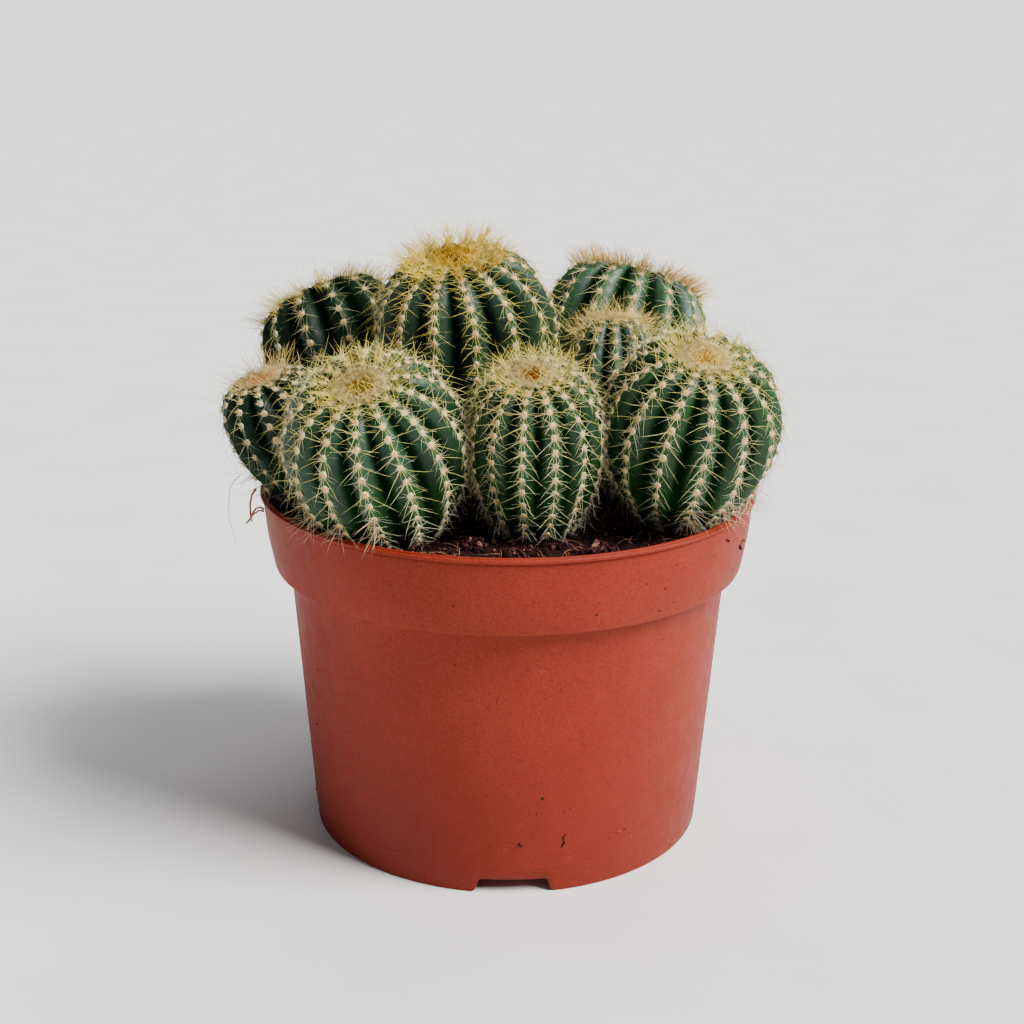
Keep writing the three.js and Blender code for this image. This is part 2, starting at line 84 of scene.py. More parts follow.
# Bits of dirt that stick to the pot: heading in degrees, height, size and tone.
SPECKS = [
    (288.7, 117.2, 0.45, 0.1), (301.0, 110.7, 0.85, 0.1), (306.2, 107.6, 0.6, 0.2),
    (303.7, 108.3, 0.35, 0.1), (289.8, 106.8, 0.6, 0.1), (289.2, 105.2, 0.5, 0.1),
    (289.6, 102.6, 0.95, 0.1), (305.9, 99.8, 0.95, 0.1), (309.8, 101.5, 0.6, 0.1),
    (308.8, 115.0, 0.6, 0.1), (286.3, 101.4, 0.4, 0.1), (312.0, 85.9, 0.4, 0.1),
    (279.7, 35.9, 1.1, 0.1), (278.2, 30.2, 0.5, 0.1), (285.7, 30.3, 0.6, 0.5),
    (287.2, 31.0, 0.5, 0.1), (273.7, 18.9, 1.3, 0.5), (274.3, 18.2, 1.0, 0.2),
    (304.2, 18.4, 0.6, 0.1), (301.5, 18.0, 0.6, 0.1), (299.4, 16.6, 0.5, 0.1),
    (325.3, 2.6, 0.6, 0.1), (314.5, 30.8, 0.5, 0.1), (300.7, 45.5, 0.4, 0.1),
    (302.6, 18.1, 0.5, 1.0), (306.9, 14.7, 0.6, 1.0), (306.4, 13.1, 0.5, 0.9),
    (327.8, 116.2, 1.5, 0.3), (326.9, 116.9, 0.9, 0.1), (337.1, 109.6, 1.7, 0.3),
    (336.8, 110.6, 1.0, 0.1),
]
# The same of the bits all round: how many, and the least and the most of each.
LOOSE_SPECKS = 34
LOOSE_RANGES = [(0, 270), (7, 115), (0.35, 0.9), (0.05, 0.5)]
# Fibres that stick to it: how thick, and their way.
DIRT_FIBRES = [
    (0.24, [(286.3, 21.5), (285.5, 20.0), (286.0, 18.3), (285.2, 16.6)]),
    (0.14, [(337.3, 110.2), (338.2, 111.6), (340.4, 110.9), (342.9, 109.3)]),
]

# A branched rootlet and a hair that hang beside the rim: how thick, and their way.
ROOTLETS = [
    (0.42, [(-85.8, -17.5, 124.4), (-87.4, -17.0, 122.0), (-88.2, -16.4, 118.8), (-88.3, -16, 115.1),
            (-88.2, -16, 113.6), (-89.0, -16.2, 112.4), (-89.9, -16.4, 111.6)]),
    (0.4, [(-83.6, -15.9, 116.6), (-84.9, -16, 117.4), (-86.3, -16, 116.9), (-87.5, -16, 115.3),
           (-88.1, -16, 113.9)]),
    (0.36, [(-83.7, -15, 115.6), (-85.3, -15.6, 116.1), (-87.3, -16, 114.8), (-88.1, -16.2, 113.5),
            (-87.9, -16.4, 112.3)]),
]
HAIR = [
    (-91.0, -16, 129.0), (-93.6, -16, 126.4), (-95.2, -16, 123.6), (-95.4, -16, 119.8),
    (-95.7, -16, 116.4), (-95.5, -16, 113.2), (-94.9, -16, 109.6), (-94.2, -16, 106.8),
    (-93.7, -16, 104.4),
]

# The soil: its top, its room in the pot, its shoulder below the collar and how finely it is
# meshed. Its roughness is in steps of height, width and number of waves.
SOIL = Table(
    top=117.5, gap=0.3, rim_gap=0.7, shoulder=(95.1, 98.3), rim_drop=1.6, sectors=220, rings=74,
    roughness=[(0.55, 7, 7), (0.4, 3.2, 7), (0.25, 1.7, 9)],
)
LUMPS = Table(height=0.54, fine_share=0.6, x=0.21, y=0.17, fine_x=0.31, fine_y=0.43, start=0.6)
# Crumbs on it: dented, squeezed grains. Some lie in heaps: where, how wide and how high. One
# pale chip lies between them.
CRUMBS = Table(count=2600, least=0.8, more=2.6, proud=0.2, tone=0.5, unrest=0.22, palest=0.95)
GRAIN = Table(dents=(0.7, 1.2), squeeze=(0.55, 1.0))
HEAPS = [
    (-11.0, -57.5, 5.0, 2.8), (-19.0, -66.0, 4.5, 1.6), (5.0, -62.0, 6.0, 2.0),
    (30.0, -63.0, 5.0, 1.6),
]
HEAP = Table(count=70, size=(0.7, 2.0))
CHIP = Table(place=(-8.9, -61.0, 119.6), size=3.6, tone=1.0)
# Root hairs across them, in steps that wander and arch over the soil.
FIBRES = Table(
    count=620, steps=8, sides=4, reach=81.5, length=(3, 12), wander=0.28, lift=0.7, arch=(0.3, 2.4),
    thick=(0.6, 1.1), taper=(0.16, 0.06),
)

# The shape that all stems share, as shares of their radius or height.
FORM = Table(
    crown_power=0.85, flank_power=0.9, hollow_spread=0.22, hollow_gain=1.2, furrow_top=0.19,
    furrow_foot=0.05, fade_from=0.4, root_depth=11.0, root_share=0.9, nod_full=0.12,
)

# Each stem: where its foot stands, its lean at the foot and at the top in degrees, the heading
# it leans to, its foot's and greatest radius, its length, the height of its widest ring as a
# share of that, its ribs and the turn of the first, how deep its crown is hollow, how far the
# crown nods and where to, how bluish its skin is, its light: how much painted shade darkens or
# painted light lightens its skin, wool and spines, how golden its spines are and how
# peach-coloured the young ones, the share of them it has, how thick the fringe of its crown
# is, and the crown's colour.
COLUMNS = (
    "x y foot_lean top_lean heading foot radius length equator ribs turn "
    "hollow nod nod_heading blue light gold peach spiny fringe crown"
).split()
STEM_ROWS = {
    "stem_front_left": (-35.6, -36.8, 25, 29.5, 245, 14, 28.6, 63, 0.54, 14, 48.6,
                        0.13, 5.3, 326, 0.35, 1.0, 0.5, 0.0, 0.92, 1.6, (142, 108, 10)),
    "stem_front_middle": (9, -41, 5, 16, 270, 11.1, 21.3, 59, 0.54, 13, -12.5,
                          0.13, 6.3, 243, 0.15, 1.0, 0.5, 0.1, 1.0, 1.7, (126, 68, 0)),
    "stem_front_right": (55, -26.3, 16, 23, 293.5, 9.9, 28.4, 66.5, 0.54, 14, 4.6,
                         0.12, 5.8, 230, 0.05, 1.0, 0.4, 0.0, 0.9, 1.5, (206, 162, 58)),
    "stem_far_left": (-53.3, -10.4, 53.4, 8.5, 190, 5.8, 18.8, 57, 0.68, 12, 80,
                      0.13, 10.7, 240, 0.5, 0.3, 0.35, 0.6, 0.48, 2.5, (206, 134, 70)),
    "stem_back_left": (-49, 30.2, 19.5, 30, 137, 14.4, 28, 75, 0.62, 13, 148,
                       0.28, 3, 180, 0.7, 0.35, 0.5, 0.15, 0.75, 2.9, (150, 112, 20)),
    "stem_tall_middle": (-13.6, 5, 3, 6, 250, 15.4, 30.3, 88, 0.64, 14, 28.2,
                         0.1, 12.3, 244, 0.75, 1.0, 0.9, 0.0, 1.0, 3.4, (140, 88, 0)),
    "stem_back_right": (33.5, 45.5, 15, 22, 52, 15.9, 30.8, 78.5, 0.6, 14, 216,
                        0.28, 3, 0, 0.4, 1.6, 0.3, 1.0, 1.0, 3.8, (196, 124, 40)),
    "stem_middle_right": (36, 3.5, 2, 8, 90, 8.3, 16, 64, 0.54, 12, 180,
                          0.17, 0, 0, 0.75, 1.7, 0.45, 0.5, 0.95, 2.4, (180, 126, 36)),
    "stem_back_low": (-8, 59, 10, 30, 98, 8.3, 16, 50, 0.54, 12, 0,
                      0.15, 0, 0, 0.4, 1.0, 0.5, 0.3, 1.0, 1.5, (150, 106, 20)),
    "stem_side_low": (64, 9, 12, 34, 14, 7.8, 15, 44, 0.54, 12, 15,
                      0.15, 0, 0, 0.3, 1.0, 0.5, 0.2, 1.0, 1.5, (150, 102, 20)),
}
STEMS = [Table(name=name, **dict(zip(COLUMNS, row))) for name, row in STEM_ROWS.items()]

# A stem's skin: how finely it is meshed, its unevenness and its swellings below the wool.
SKIN = Table(
    rib_steps=8, row_length=1.15, ripple=0.22, swell=0.45, swell_along=1.7, swell_across=2.0,
)

# Wool cushions: their half sizes, where the first and the last lie on a rib, how the ribs are
# staggered, and their spacing and size at shares of a rib. Loose hairs fray them.
AREOLE = Table(length=1.14, width=1.0, height=0.76, first=0.22, last=0.965, stagger=2.2, kinds=6)
SPACING = ((0.0, 0.3, 0.75, 1.0), (3.0, 5.4, 5.2, 4.0))
SIZES = ((0.0, 0.15, 0.6, 1.0), (0.85, 1.05, 1.0, 0.8))
DOME = Table(rings=3, sides=8, spread=(0.85, 1.15), rise=(0.85, 1.1), sunk=0.25, top=0.8, foot=-0.5)
HAIRS = Table(count=26, rise=(0.05, 0.9), start=(0.1, 0.85), length=(0.7, 2.0), thick=0.19, core=0.3)

# The wool in a full-grown crown: a closed mat in the hollow and matted hairs over it. A hollow
# deeper than the plain one widens it, and its outer edge keeps a trace of the crown's colour.
# Spines are toned by how much more golden than plain ones they are.
CROWN = Table(plain_hollow=0.13, widening=3, plain_gold=0.45, edge=0.08, core=0.4)
MAT = Table(rings=10, sides=40, reach=6.8, lift=0.4, unrest=0.3, tuck=1.3)
FELT = Table(for_radius=60, crowding=0.55, thick=0.13, unrest=0.16, bend=0.15)

# The spines of an areole, thin pale ones that lie close and strong golden ones over them: how
# many, the angle they fan over, their rise over the skin, what youth adds to both, their share
# of the full length, where they start, how thick they are, where they have points and their
# tones at shares of the stem's side. The full length is given at such shares too.
TONE_SHARES = (0.0, 0.2, 0.5, 0.8, 1.0)
SPINES = [
    Table(count=8, fan=5.3, young_fan=0.3, rise=0.2, length=0.6, young_length=0.1, start=0.5,
          thick=0.118, stations=(0.0, 0.5), tones=(0.74, 0.5, 0.26, 0.2, 0.1)),
    Table(count=3, fan=2.6, young_fan=2.4, rise=0.5, length=1.0, young_length=0.0, start=0.2,
          thick=0.155, stations=(0.0, 0.35, 0.7), tones=(0.84, 0.66, 0.46, 0.28, 0.06)),
]
LENGTHS = ((0.0, 0.12, 0.3, 0.6, 1.0), (7.4, 10.2, 10.8, 9.4, 8.6))
LONG_STATIONS = (0.0, 0.35, 0.7)
# What both share: where on a rib they count as young, low or golden, what that changes, and
# their unrest.
FLANK = Table(
    young=(0.06, 0.36), low=(0.66, 0.92), golden=(0.4, 0.85), young_rise=0.3, low_rise=0.45,
    low_length=0.4, fringe_length=0.25, full_fringe=2.4, gold=0.5, droop=0.2, proud=0.25,
    unrest=0.15, rise_unrest=0.12, tone_unrest=0.07, length=(0.66, 1.06), thick=(0.8, 1.15),
)
# Young spines round a crown: where their ring begins, its width and what a deeper hollow or
# more gold adds to it, their number, how far they lean outwards, and their tone.
YOUNG = Table(
    start=6.3, width=5.6, hollow_width=32, gold_width=10, plain_gold=0.5, least=2.5, number=0.38,
    reach=0.86, beside=0.17, lean=0.5, more_lean=0.75, unrest=0.17, full_fringe=2.6, tone=0.94,
    outer_tone=0.2, gold=0.4, tone_unrest=0.08, length=(0.6, 1.15), thick=(0.85, 1.15),
)
# Long, tan spines of the lowest areoles that hang over the rim.
RIM = Table(count=10, inside=10, above=9, length=(6, 11), thick=(0.15, 0.2))

# How a spine keeps clear: by how much, the shares of its length that are tried, and where on it.
CLEAR = Table(margin=0.35, shares=(0.3, 0.45, 0.6, 0.75, 0.9, 1.0), probes=(0.25, 0.5, 0.75, 1.0))

# The view: from in front and above, looking down, with a slight roll.
VIEW = Table(lens=58.925, spot=(1.38, -564.26, 287.23), pitch=0.3022, roll=0.0075)
# Soft lights: heading, height and width in degrees, strength and tint.
LIGHTS = {
    "key": (338, 44, 32, 8.6, (1.0, 0.985, 0.96)),
    "fill": (215, 40, 60, 0.15, (0.93, 0.96, 1.0)),
    "top": (60, 70, 50, 1.2, (0.97, 0.98, 1.0)),
}
SKY = Table(strength=1.95, pale=(1.0, 1.0, 1.0, 1.0), dim=(0.047, 0.049, 0.051, 1.0))
FLOOR = Table(reach=200, sides=96)


def chance(*seed):
    """A repeatable source of random numbers."""
    return np.random.default_rng(list(seed))


def unit(vectors):
    return vectors / np.linalg.norm(vectors, axis=-1, keepdims=True)


def smoothstep(x, low, high):
    t = np.clip((x - low) / (high - low), 0, 1)
    return t * t * (3 - 2 * t)


def around(count):
    """Angles that divide a circle evenly."""
    return np.arange(count) * TURN / count


def polar(r, angle, z=0.0):
    """Points at distances and angles round an axis, and at heights along it."""
    return np.stack(np.broadcast_arrays(r * np.cos(angle), r * np.sin(angle), z), -1)


def spokes(first, second, angle):
    """Directions at angles from the first to the second of each pair of directions."""
    return first[:, None] * np.cos(angle)[..., None] + second[:, None] * np.sin(angle)[..., None]


# Meshes


class Shape:
    """Points, faces and values per point, gathered for one piece."""

    def __init__(self):
        self.points = []
        self.faces = []
        self.values = {}
        self.count = 0

    def add(self, points, faces, **values):
        points = np.asarray(points, float).reshape(-1, 3)
        self.faces += [np.asarray(f, int) + self.count for f in faces if len(f)]
        self.points.append(points)
        for name, value in values.items():
            spread = np.broadcast_to(np.asarray(value, float), (len(points),))
            self.values.setdefault(name, []).append(spread)
        self.count += len(points)

    def piece(self, name, material, node=None, smooth=True):
        mesh = bpy.data.meshes.new(name)
        faces = [face for group in self.faces for face in group.tolist()]
        points = np.concatenate(self.points) * MM + POT_AXIS
        mesh.from_pydata(points.tolist(), [], faces, shade_flat=not smooth)
        for key, parts in self.values.items():
            layer = mesh.attributes.new(key, "FLOAT", "POINT")
            layer.data.foreach_set("value", np.concatenate(parts).astype(np.float32))
        show(name, mesh, material, node)


def place_in_scene(name, data):
    obj = bpy.data.objects.new(name, data)
    bpy.context.scene.collection.objects.link(obj)
    return obj


def show(name, mesh, material, node=None):
    """Puts a piece in the scene, on the one body and the node it stands for."""
    mesh.materials.clear()
    mesh.materials.append(material)
    obj = place_in_scene(name, mesh)
    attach(obj, "root")
    if node:
        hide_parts(node)


def grid_faces(rows, columns):
    """Quads between rings of points, each ring closed on itself."""
    i, j = np.meshgrid(np.arange(rows - 1), np.arange(columns), indexing="ij")
    low, high = i * columns, (i + 1) * columns
    k = (j + 1) % columns
    return np.stack([low + j, high + j, high + k, low + k], -1).reshape(-1, 4)


def fan_faces(ring, middle, flip):
    """Triangles from a closed ring to one point."""
    after = np.roll(ring, -1)
    order = [ring, after] if not flip else [after, ring]
    return np.stack([np.full(len(ring), middle), *order], -1)


def closed_rings(rings, start, end, flip=False):
    """Points and faces of rings of points, closed by one point at either end."""
    rows, columns = rings.shape[:2]
    count = rows * columns
    ring = np.arange(columns)
    quads = grid_faces(rows, columns)
    faces = [quads[:, ::-1] if flip else quads, fan_faces(ring, count, flip),
             fan_faces(ring + count - columns, count + 1, not flip)]
    return np.concatenate([rings.reshape(-1, 3), [start, end]]), faces


def needles(root, way, bend, length, thick, stations=(0.0,), sides=3, taper=0.6):
    """Closed, bent needles that narrow to a point: points, faces and how far along each point is."""
    n = len(root)
    helper = np.where(np.abs(way[:, 2:3]) < 0.9, [[0.0, 0.0, 1.0]], [[1.0, 0.0, 0.0]])
    side = unit(np.cross(way, helper))
    t = np.array(stations)
    reach = length[:, None] * t
    centre = root[:, None] + way[:, None] * reach[..., None] + bend[:, None] * (reach * t)[..., None]
    radius = thick[:, None] / 2 * (1 - taper * t)
    spoke = spokes(side, np.cross(way, side), around(sides))
    rings = centre[:, :, None] + radius[:, :, None, None] * spoke[:, None]
    tip = root + (way + bend) * length[:, None]
    points = np.concatenate([rings.reshape(n, -1, 3), tip[:, None]], 1)
    j = np.arange(sides)
    k = (j + 1) % sides
    last = (len(t) - 1) * sides
    base = np.arange(n)[:, None, None] * (last + sides + 1)
    ends = np.stack([last + j, last + k, np.full(sides, last + sides)], -1)
    faces = [(np.concatenate([ends, [[0, 2, 1]]]) + base).reshape(-1, 3)]
    for low in range(0, last, sides):
        quads = np.stack([low + j, low + k, low + sides + k, low + sides + j], -1)
        faces.append((quads + base).reshape(-1, 4))
    return points, faces, np.tile(np.append(np.repeat(t, sides), 1.0), n)


def tube(path, radius, sides):
    """A closed tube along a path: its points and faces."""
    path = np.asarray(path, float)
    way = unit(np.gradient(path, axis=0))
    side = unit(np.cross(way, [0.31, 0.87, 0.4]))
    spoke = spokes(side, np.cross(way, side), around(sides))
    rings = path[:, None] + np.asarray(radius)[:, None, None] * spoke
    return closed_rings(rings, path[0], path[-1], flip=True)


# The stems' shape


def bend_of(stem):
    """A stem's heading, its lean at the foot and how much that grows in a millimetre."""
    foot_lean = math.radians(stem.foot_lean)
    bend = (math.radians(stem.top_lean) - foot_lean) / stem.length
    return math.radians(stem.heading), foot_lean, bend


def axis_at(stem, along):
    """A stem's bent axis at heights along it: the points, the way of the lean, across and along."""
    heading, foot_lean, bend = bend_of(stem)
    lean = foot_lean + bend * np.asarray(along, float)
    out = (math.cos(foot_lean) - np.cos(lean)) / bend
    up = (np.sin(lean) - math.sin(foot_lean)) / bend
    flat = np.array([math.cos(heading), math.sin(heading), 0.0])
    point = np.array([stem.x, stem.y, SOIL.top]) + out[..., None] * flat + up[..., None] * UP
    forward = np.cos(lean)[..., None] * flat - np.sin(lean)[..., None] * UP
    axis = np.sin(lean)[..., None] * flat + np.cos(lean)[..., None] * UP
    return point, forward, np.cross(axis, forward), axis


def crest_at(stem, share):
    """Crest radius and height along the axis at a share of the side: 0 the apex, 1 the soil."""
    share = np.asarray(share, float)
    radius = stem.radius
    equator = stem.equator * stem.length
    turn = np.clip(share, 0, 0.5) * math.pi
    top_r = radius * np.sin(turn) ** FORM.crown_power
    spread = FORM.hollow_spread + FORM.hollow_gain * stem.hollow
    sunk = stem.hollow * radius * np.exp(-((top_r / (spread * radius)) ** 2))
    top = equator + (stem.length - equator) * np.clip(np.cos(turn), 0, 1) ** FORM.crown_power - sunk
    down = np.clip(2 * share - 1, 0, 1)
    narrowing = np.clip(np.cos(down * math.pi / 2), 0, 1) ** FORM.flank_power
    low_r = stem.foot + (radius - stem.foot) * narrowing
    upper = share < 0.5
    return np.where(upper, top_r, low_r), np.where(upper, top, equator * (1 - down))


def share_at(stem, radius):
    """The share of the side at which the dome has a radius."""
    return np.arcsin((radius / stem.radius) ** (1 / FORM.crown_power)) / math.pi


def grown(stem, least, rest, full):
    """A share that grows with a stem's radius until it is full-grown."""
    return least + rest * min(1, stem.radius / full)


def rib_angle(stem, rib):
    return math.radians(stem.turn) + rib * TURN / stem.ribs


def furrow_at(rib):
    """0 on a crest, which is a whole rib number, and 1 in the middle of a furrow."""
    return 1 - np.abs(np.cos(rib * math.pi))


def ring_point(stem, along, r, angle):
    point, forward, across, _ = axis_at(stem, along)
    return point + forward * (r * np.cos(angle))[..., None] + across * (r * np.sin(angle))[..., None]


def nod(stem, points, share):
    """Points of the dome turned about its middle, fully at the crown and not at the widest ring."""
    if not stem.nod:
        return points
    pivot = axis_at(stem, np.array(stem.equator * stem.length))[0]
    turn = math.radians(stem.nod) * (1 - smoothstep(np.asarray(share), FORM.nod_full, 0.5))[..., None]
    heading = math.radians(stem.nod_heading)
    hinge = np.array([-math.sin(heading), math.cos(heading), 0.0])
    arm = points - pivot
    along = (arm @ hinge)[..., None] * hinge
    return pivot + along + (arm - along) * np.cos(turn) + np.cross(hinge, arm) * np.sin(turn)


def skin_at(stem, share, rib, swell=0.0):
    """Points of the skin at shares of the side and rib numbers."""
    share, rib = np.broadcast_arrays(np.asarray(share, float), np.asarray(rib, float))
    r, along = crest_at(stem, share)
    fade = smoothstep(share, FORM.fade_from, 1)
    depth = FORM.furrow_top + (FORM.furrow_foot - FORM.furrow_top) * fade
    r = r * (1 - depth * furrow_at(rib)) + swell
    return nod(stem, ring_point(stem, along, r, rib_angle(stem, rib)), share)


def skin_frame(stem, share, rib, step=0.02, rib_step=0.1, top=0.005):
    """Upward, sideways and outward directions of the skin on crests."""
    above = skin_at(stem, np.maximum(share - step, top), rib)
    up = unit(above - skin_at(stem, share + step, rib))
    side = unit(skin_at(stem, share, rib + rib_step) - skin_at(stem, share, rib - rib_step))
    return up, side, unit(np.cross(side, up))


def near_stem(stem, points, margin):
    """True for points that are inside a stem's crests or closer to them than the margin."""
    heading, foot_lean, bend = bend_of(stem)
    x, y, z = np.moveaxis(points - np.array([stem.x, stem.y, SOIL.top]), -1, 0)
    out = x * math.cos(heading) + y * math.sin(heading)
    sideways = y * math.cos(heading) - x * math.sin(heading)
    low = math.cos(foot_lean) - out * bend
    high = math.sin(foot_lean) + z * bend
    along = (np.arctan2(high, low) - foot_lean) / bend
    r = np.hypot((1 - np.hypot(low, high)) / bend, sideways)
    share = np.linspace(1, 0.06, 60)
    crest_r, crest_along = crest_at(stem, share)
    crest_along = np.maximum.accumulate(crest_along) + 1e-4 * np.arange(len(share))
    limit = np.interp(along, crest_along, crest_r) + margin
    return (along > -FORM.root_depth) & (along < crest_along[-1] + margin) & (r < limit)


def soil_height(points):
    x, y = points[..., 0], points[..., 1]
    broad = np.sin(LUMPS.x * x + LUMPS.start) * np.cos(LUMPS.y * y)
    fine = LUMPS.fine_share * np.sin(LUMPS.fine_y * y - LUMPS.fine_x * x)
    return SOIL.top + LUMPS.height * (broad + fine)


def near_pot(points, margin):
    """True for points in the rim or the soil, or closer to them than the margin."""
    z = points[..., 2]
    out = np.hypot(points[..., 0], points[..., 1])
    middle = (POT.lip_radius + POT.collar_top - POT.wall) / 2
    half = POT.lip_radius - middle
    rim = (np.abs(out - middle) < half + margin) & (z < POT.height + margin)
    return rim | ((out < middle) & (z < soil_height(points) + margin))


def outside_box(points):
    return ((points < BOX_LOW + BOX_SLACK) | (points > BOX_HIGH - BOX_SLACK)).any(-1)


def clear_share(owner, root, way, bend, length):
    """The largest share of each needle that meets no neighbour, pot, soil or box wall."""
    found = np.zeros(len(root))
    for share in CLEAR.shares:
        meets = np.zeros(len(root), bool)
        for t in CLEAR.probes:
            reach = (share * t * length)[:, None]
            points = root + way * reach + bend * reach * share * t
            meets |= near_pot(points, CLEAR.margin) | outside_box(points)
            for stem in STEMS:
                if stem is not owner:
                    meets |= near_stem(stem, points, CLEAR.margin)
        found = np.where(~meets, share, found)
    return found


def ripple(points, seed, size, waves=7):
    """A smooth, repeatable unevenness between about -1 and 1, with waves of a size."""
    draw = chance(seed, SEED.ripple)
    total = 0
    for _ in range(waves):
        way = unit(draw.normal(size=3)) * TURN / (size * draw.uniform(0.7, 1.6))
        total = total + np.sin(points @ way + draw.uniform(0, TURN))
    return total / math.sqrt(waves) / 1.4


# Materials


def rgba(shade):
    """A grey, a screen's colour or a finished colour as the shader takes it."""
    if isinstance(shade, bpy.types.NodeSocket):
        return shade
    if not isinstance(shade, tuple):
        return (shade, shade, shade, 1.0)
    if len(shade) == 4:
        return shade
    channels = [v / 255 for v in shade]
    return (*[v / 12.92 if v < 0.04045 else ((v + 0.055) / 1.055) ** 2.4 for v in channels], 1.0)


def blend(first, second, share):
    return tuple(np.array(rgba(first)) * (1 - share) + np.array(rgba(second)) * share)


def lit(shade, factor):
    """A colour made lighter or darker."""
    return (*[channel * factor for channel in rgba(shade)[:3]], 1.0)


class Paint:
    """A material, or a sky, whose colour is laid on in layers."""

    def __init__(self, name, kind="materials", coordinates="Object"):
        self.owner = getattr(bpy.data, kind).new(name)
        self.owner.use_nodes = True
        self.tree = self.owner.node_tree
        self.place = self.node("TexCoord", {}).outputs[coordinates]
        self.base = None

    def put(self, socket, value):
        if isinstance(value, bpy.types.NodeSocket):
            self.tree.links.new(value, socket)
        else:
            socket.default_value = value

    def node(self, kind, inputs, **settings):
        node = self.tree.nodes.new("ShaderNode" + kind)
        for key, value in settings.items():
            setattr(node, key, value)
        for key, value in inputs.items():
            self.put(node.inputs[key], value)
        return node

    def value(self, name):
        return self.node("Attribute", {}, attribute_name=name).outputs["Fac"]

    def height(self):
        return self.node("SeparateXYZ", {"Vector": self.place}).outputs["Z"]

    def noise(self, size, detail, rough, place=None):
        """Noise whose features are about this many millimetres wide."""
        inputs = {"Vector": place or self.place, "Scale": 1 / (size * MM), "Detail": detail}
        return self.node("TexNoise", {**inputs, "Roughness": rough}).outputs["Fac"]

    def ramp(self, fac, *stops):
        """Colours or greys by stops of position and value."""
        node = self.node("ValToRGB", {"Fac": fac})
        node.color_ramp.interpolation = "EASE"
        elements = node.color_ramp.elements
        while len(elements) < len(stops):
            elements.new(0.5)
        for element, (position, shade) in zip(elements, stops):
            element.position = position
            element.color = rgba(shade)
        return node.outputs["Color"]

    def mix(self, fac, first, second, kind="MIX"):
        inputs = {0: fac, 6: rgba(first), 7: rgba(second)}
        return self.node("Mix", inputs, data_type="RGBA", blend_type=kind).outputs[2]

    def times(self, first, second):
        return self.node("Math", {0: first, 1: second}, operation="MULTIPLY").outputs[0]

    def layer(self, shade, mask, *stops):
        """Lays a colour over what is there where a mask, or its ramp, is high."""
        self.base = self.mix(self.ramp(mask, *stops) if stops else mask, self.base, shade)

    def finish(self, roughness, specular, height=None, depth=0.0, strength=0.0):
        """The material, with its gloss and a relief of a depth in millimetres."""
        shader = self.tree.nodes["Principled BSDF"].inputs
        self.put(shader["Base Color"], self.base)
        self.put(shader["Roughness"], roughness)
        self.put(shader["Specular IOR Level"], specular)
        if height:
            inputs = {"Height": height, "Distance": depth * MM, "Strength": strength}
            self.put(shader["Normal"], self.node("Bump", inputs).outputs[0])
        return self.owner


def pot_material():
    """Matt terracotta plastic: fine grain, faint clouding, pale scuffs and dust, and painted shade
    that darkens it towards the foot.
    """
    paint = Paint("pot_plastic")
    paint.base = paint.ramp(paint.noise(38, 4, 0.55), (0.3, (122, 35, 18)), (0.7, (130, 40, 22)))
    grain = paint.noise(0.6, 2, 0.75)
    paint.layer((150, 55, 29), grain, (0.45, 0.0), (0.7, 0.45))
    pits = paint.noise(0.8, 1, 0.5)
    paint.layer((90, 23, 21), pits, (0.52, 0.0), (0.72, 0.5))
    # Painted shade: the plastic darkens towards the foot, by height.
    foot = paint.times(paint.height(), 10.0)
    paint.layer((99, 25, 17), foot, (0.05, 0.5), (0.8, 0.0))
    upright = paint.node("Mapping", {"Vector": paint.place, "Scale": (1, 1, 5)}).outputs[0]
    scuffs = paint.ramp(paint.noise(7, 3, 0.6, upright), (0.64, 0.0), (0.76, 0.28))
    patches = paint.ramp(paint.noise(26, 2, 0.5), (0.56, 0.0), (0.68, 1.0))
    paint.layer((165, 96, 73), paint.times(scuffs, patches))
    dust = paint.ramp(paint.noise(1.4, 3, 0.6), (0.68, 0.0), (0.74, 0.5))
    patches = paint.ramp(paint.noise(16, 1, 0.5), (0.5, 0.0), (0.65, 1.0))
    paint.layer((77, 30, 21), paint.times(dust, patches))
    roughness = paint.ramp(paint.noise(5, 3, 0.6), (0.3, 0.5), (0.7, 0.6))
    relief = paint.mix(0.5, grain, paint.noise(2.2, 3, 0.6))
    return paint.finish(roughness, 0.15, relief, 0.06, 0.5)


def soil_material():
    """Moist peat: near black in its hollows, brown on its crumbs, with paler flecks."""
    paint = Paint("peat")
    lump = paint.noise(3.2, 5, 0.65)
    paint.base = paint.ramp(lump, (0.3, (9, 2, 3)), (0.52, (30, 8, 11)), (0.72, (60, 28, 28)))
    paint.layer((106, 66, 60), paint.noise(1.1, 3, 0.7), (0.62, 0.0), (0.72, 0.7))
    roughness = paint.ramp(lump, (0.3, 0.95), (0.7, 0.8))
    return paint.finish(roughness, 0.15, paint.noise(1.6, 6, 0.7), 1.0, 0.9)


def crumb_material():
    """Loose crumbs: each has its own brown."""
    paint = Paint("peat_crumbs")
    paint.base = paint.ramp(paint.value("tone"), (0.0, (12, 3, 4)), (0.5, (44, 16, 18)),
                            (0.85, (98, 58, 54)), (1.0, (186, 128, 112)))
    paint.layer((16, 8, 8), paint.noise(0.9, 4, 0.7), (0.4, 0.0), (0.7, 0.45))
    return paint.finish(0.9, 0.15, paint.noise(0.7, 4, 0.7), 0.35, 0.8)


def fibre_material():
    """Dry root hairs in the soil."""
    paint = Paint("root_fibre")
    paint.base = paint.ramp(paint.noise(2.5, 2, 0.6), (0.35, (92, 45, 33)), (0.65, (163, 113, 81)))
    return paint.finish(0.8, 0.2, paint.noise(0.5, 2, 0.6), 0.1, 0.5)


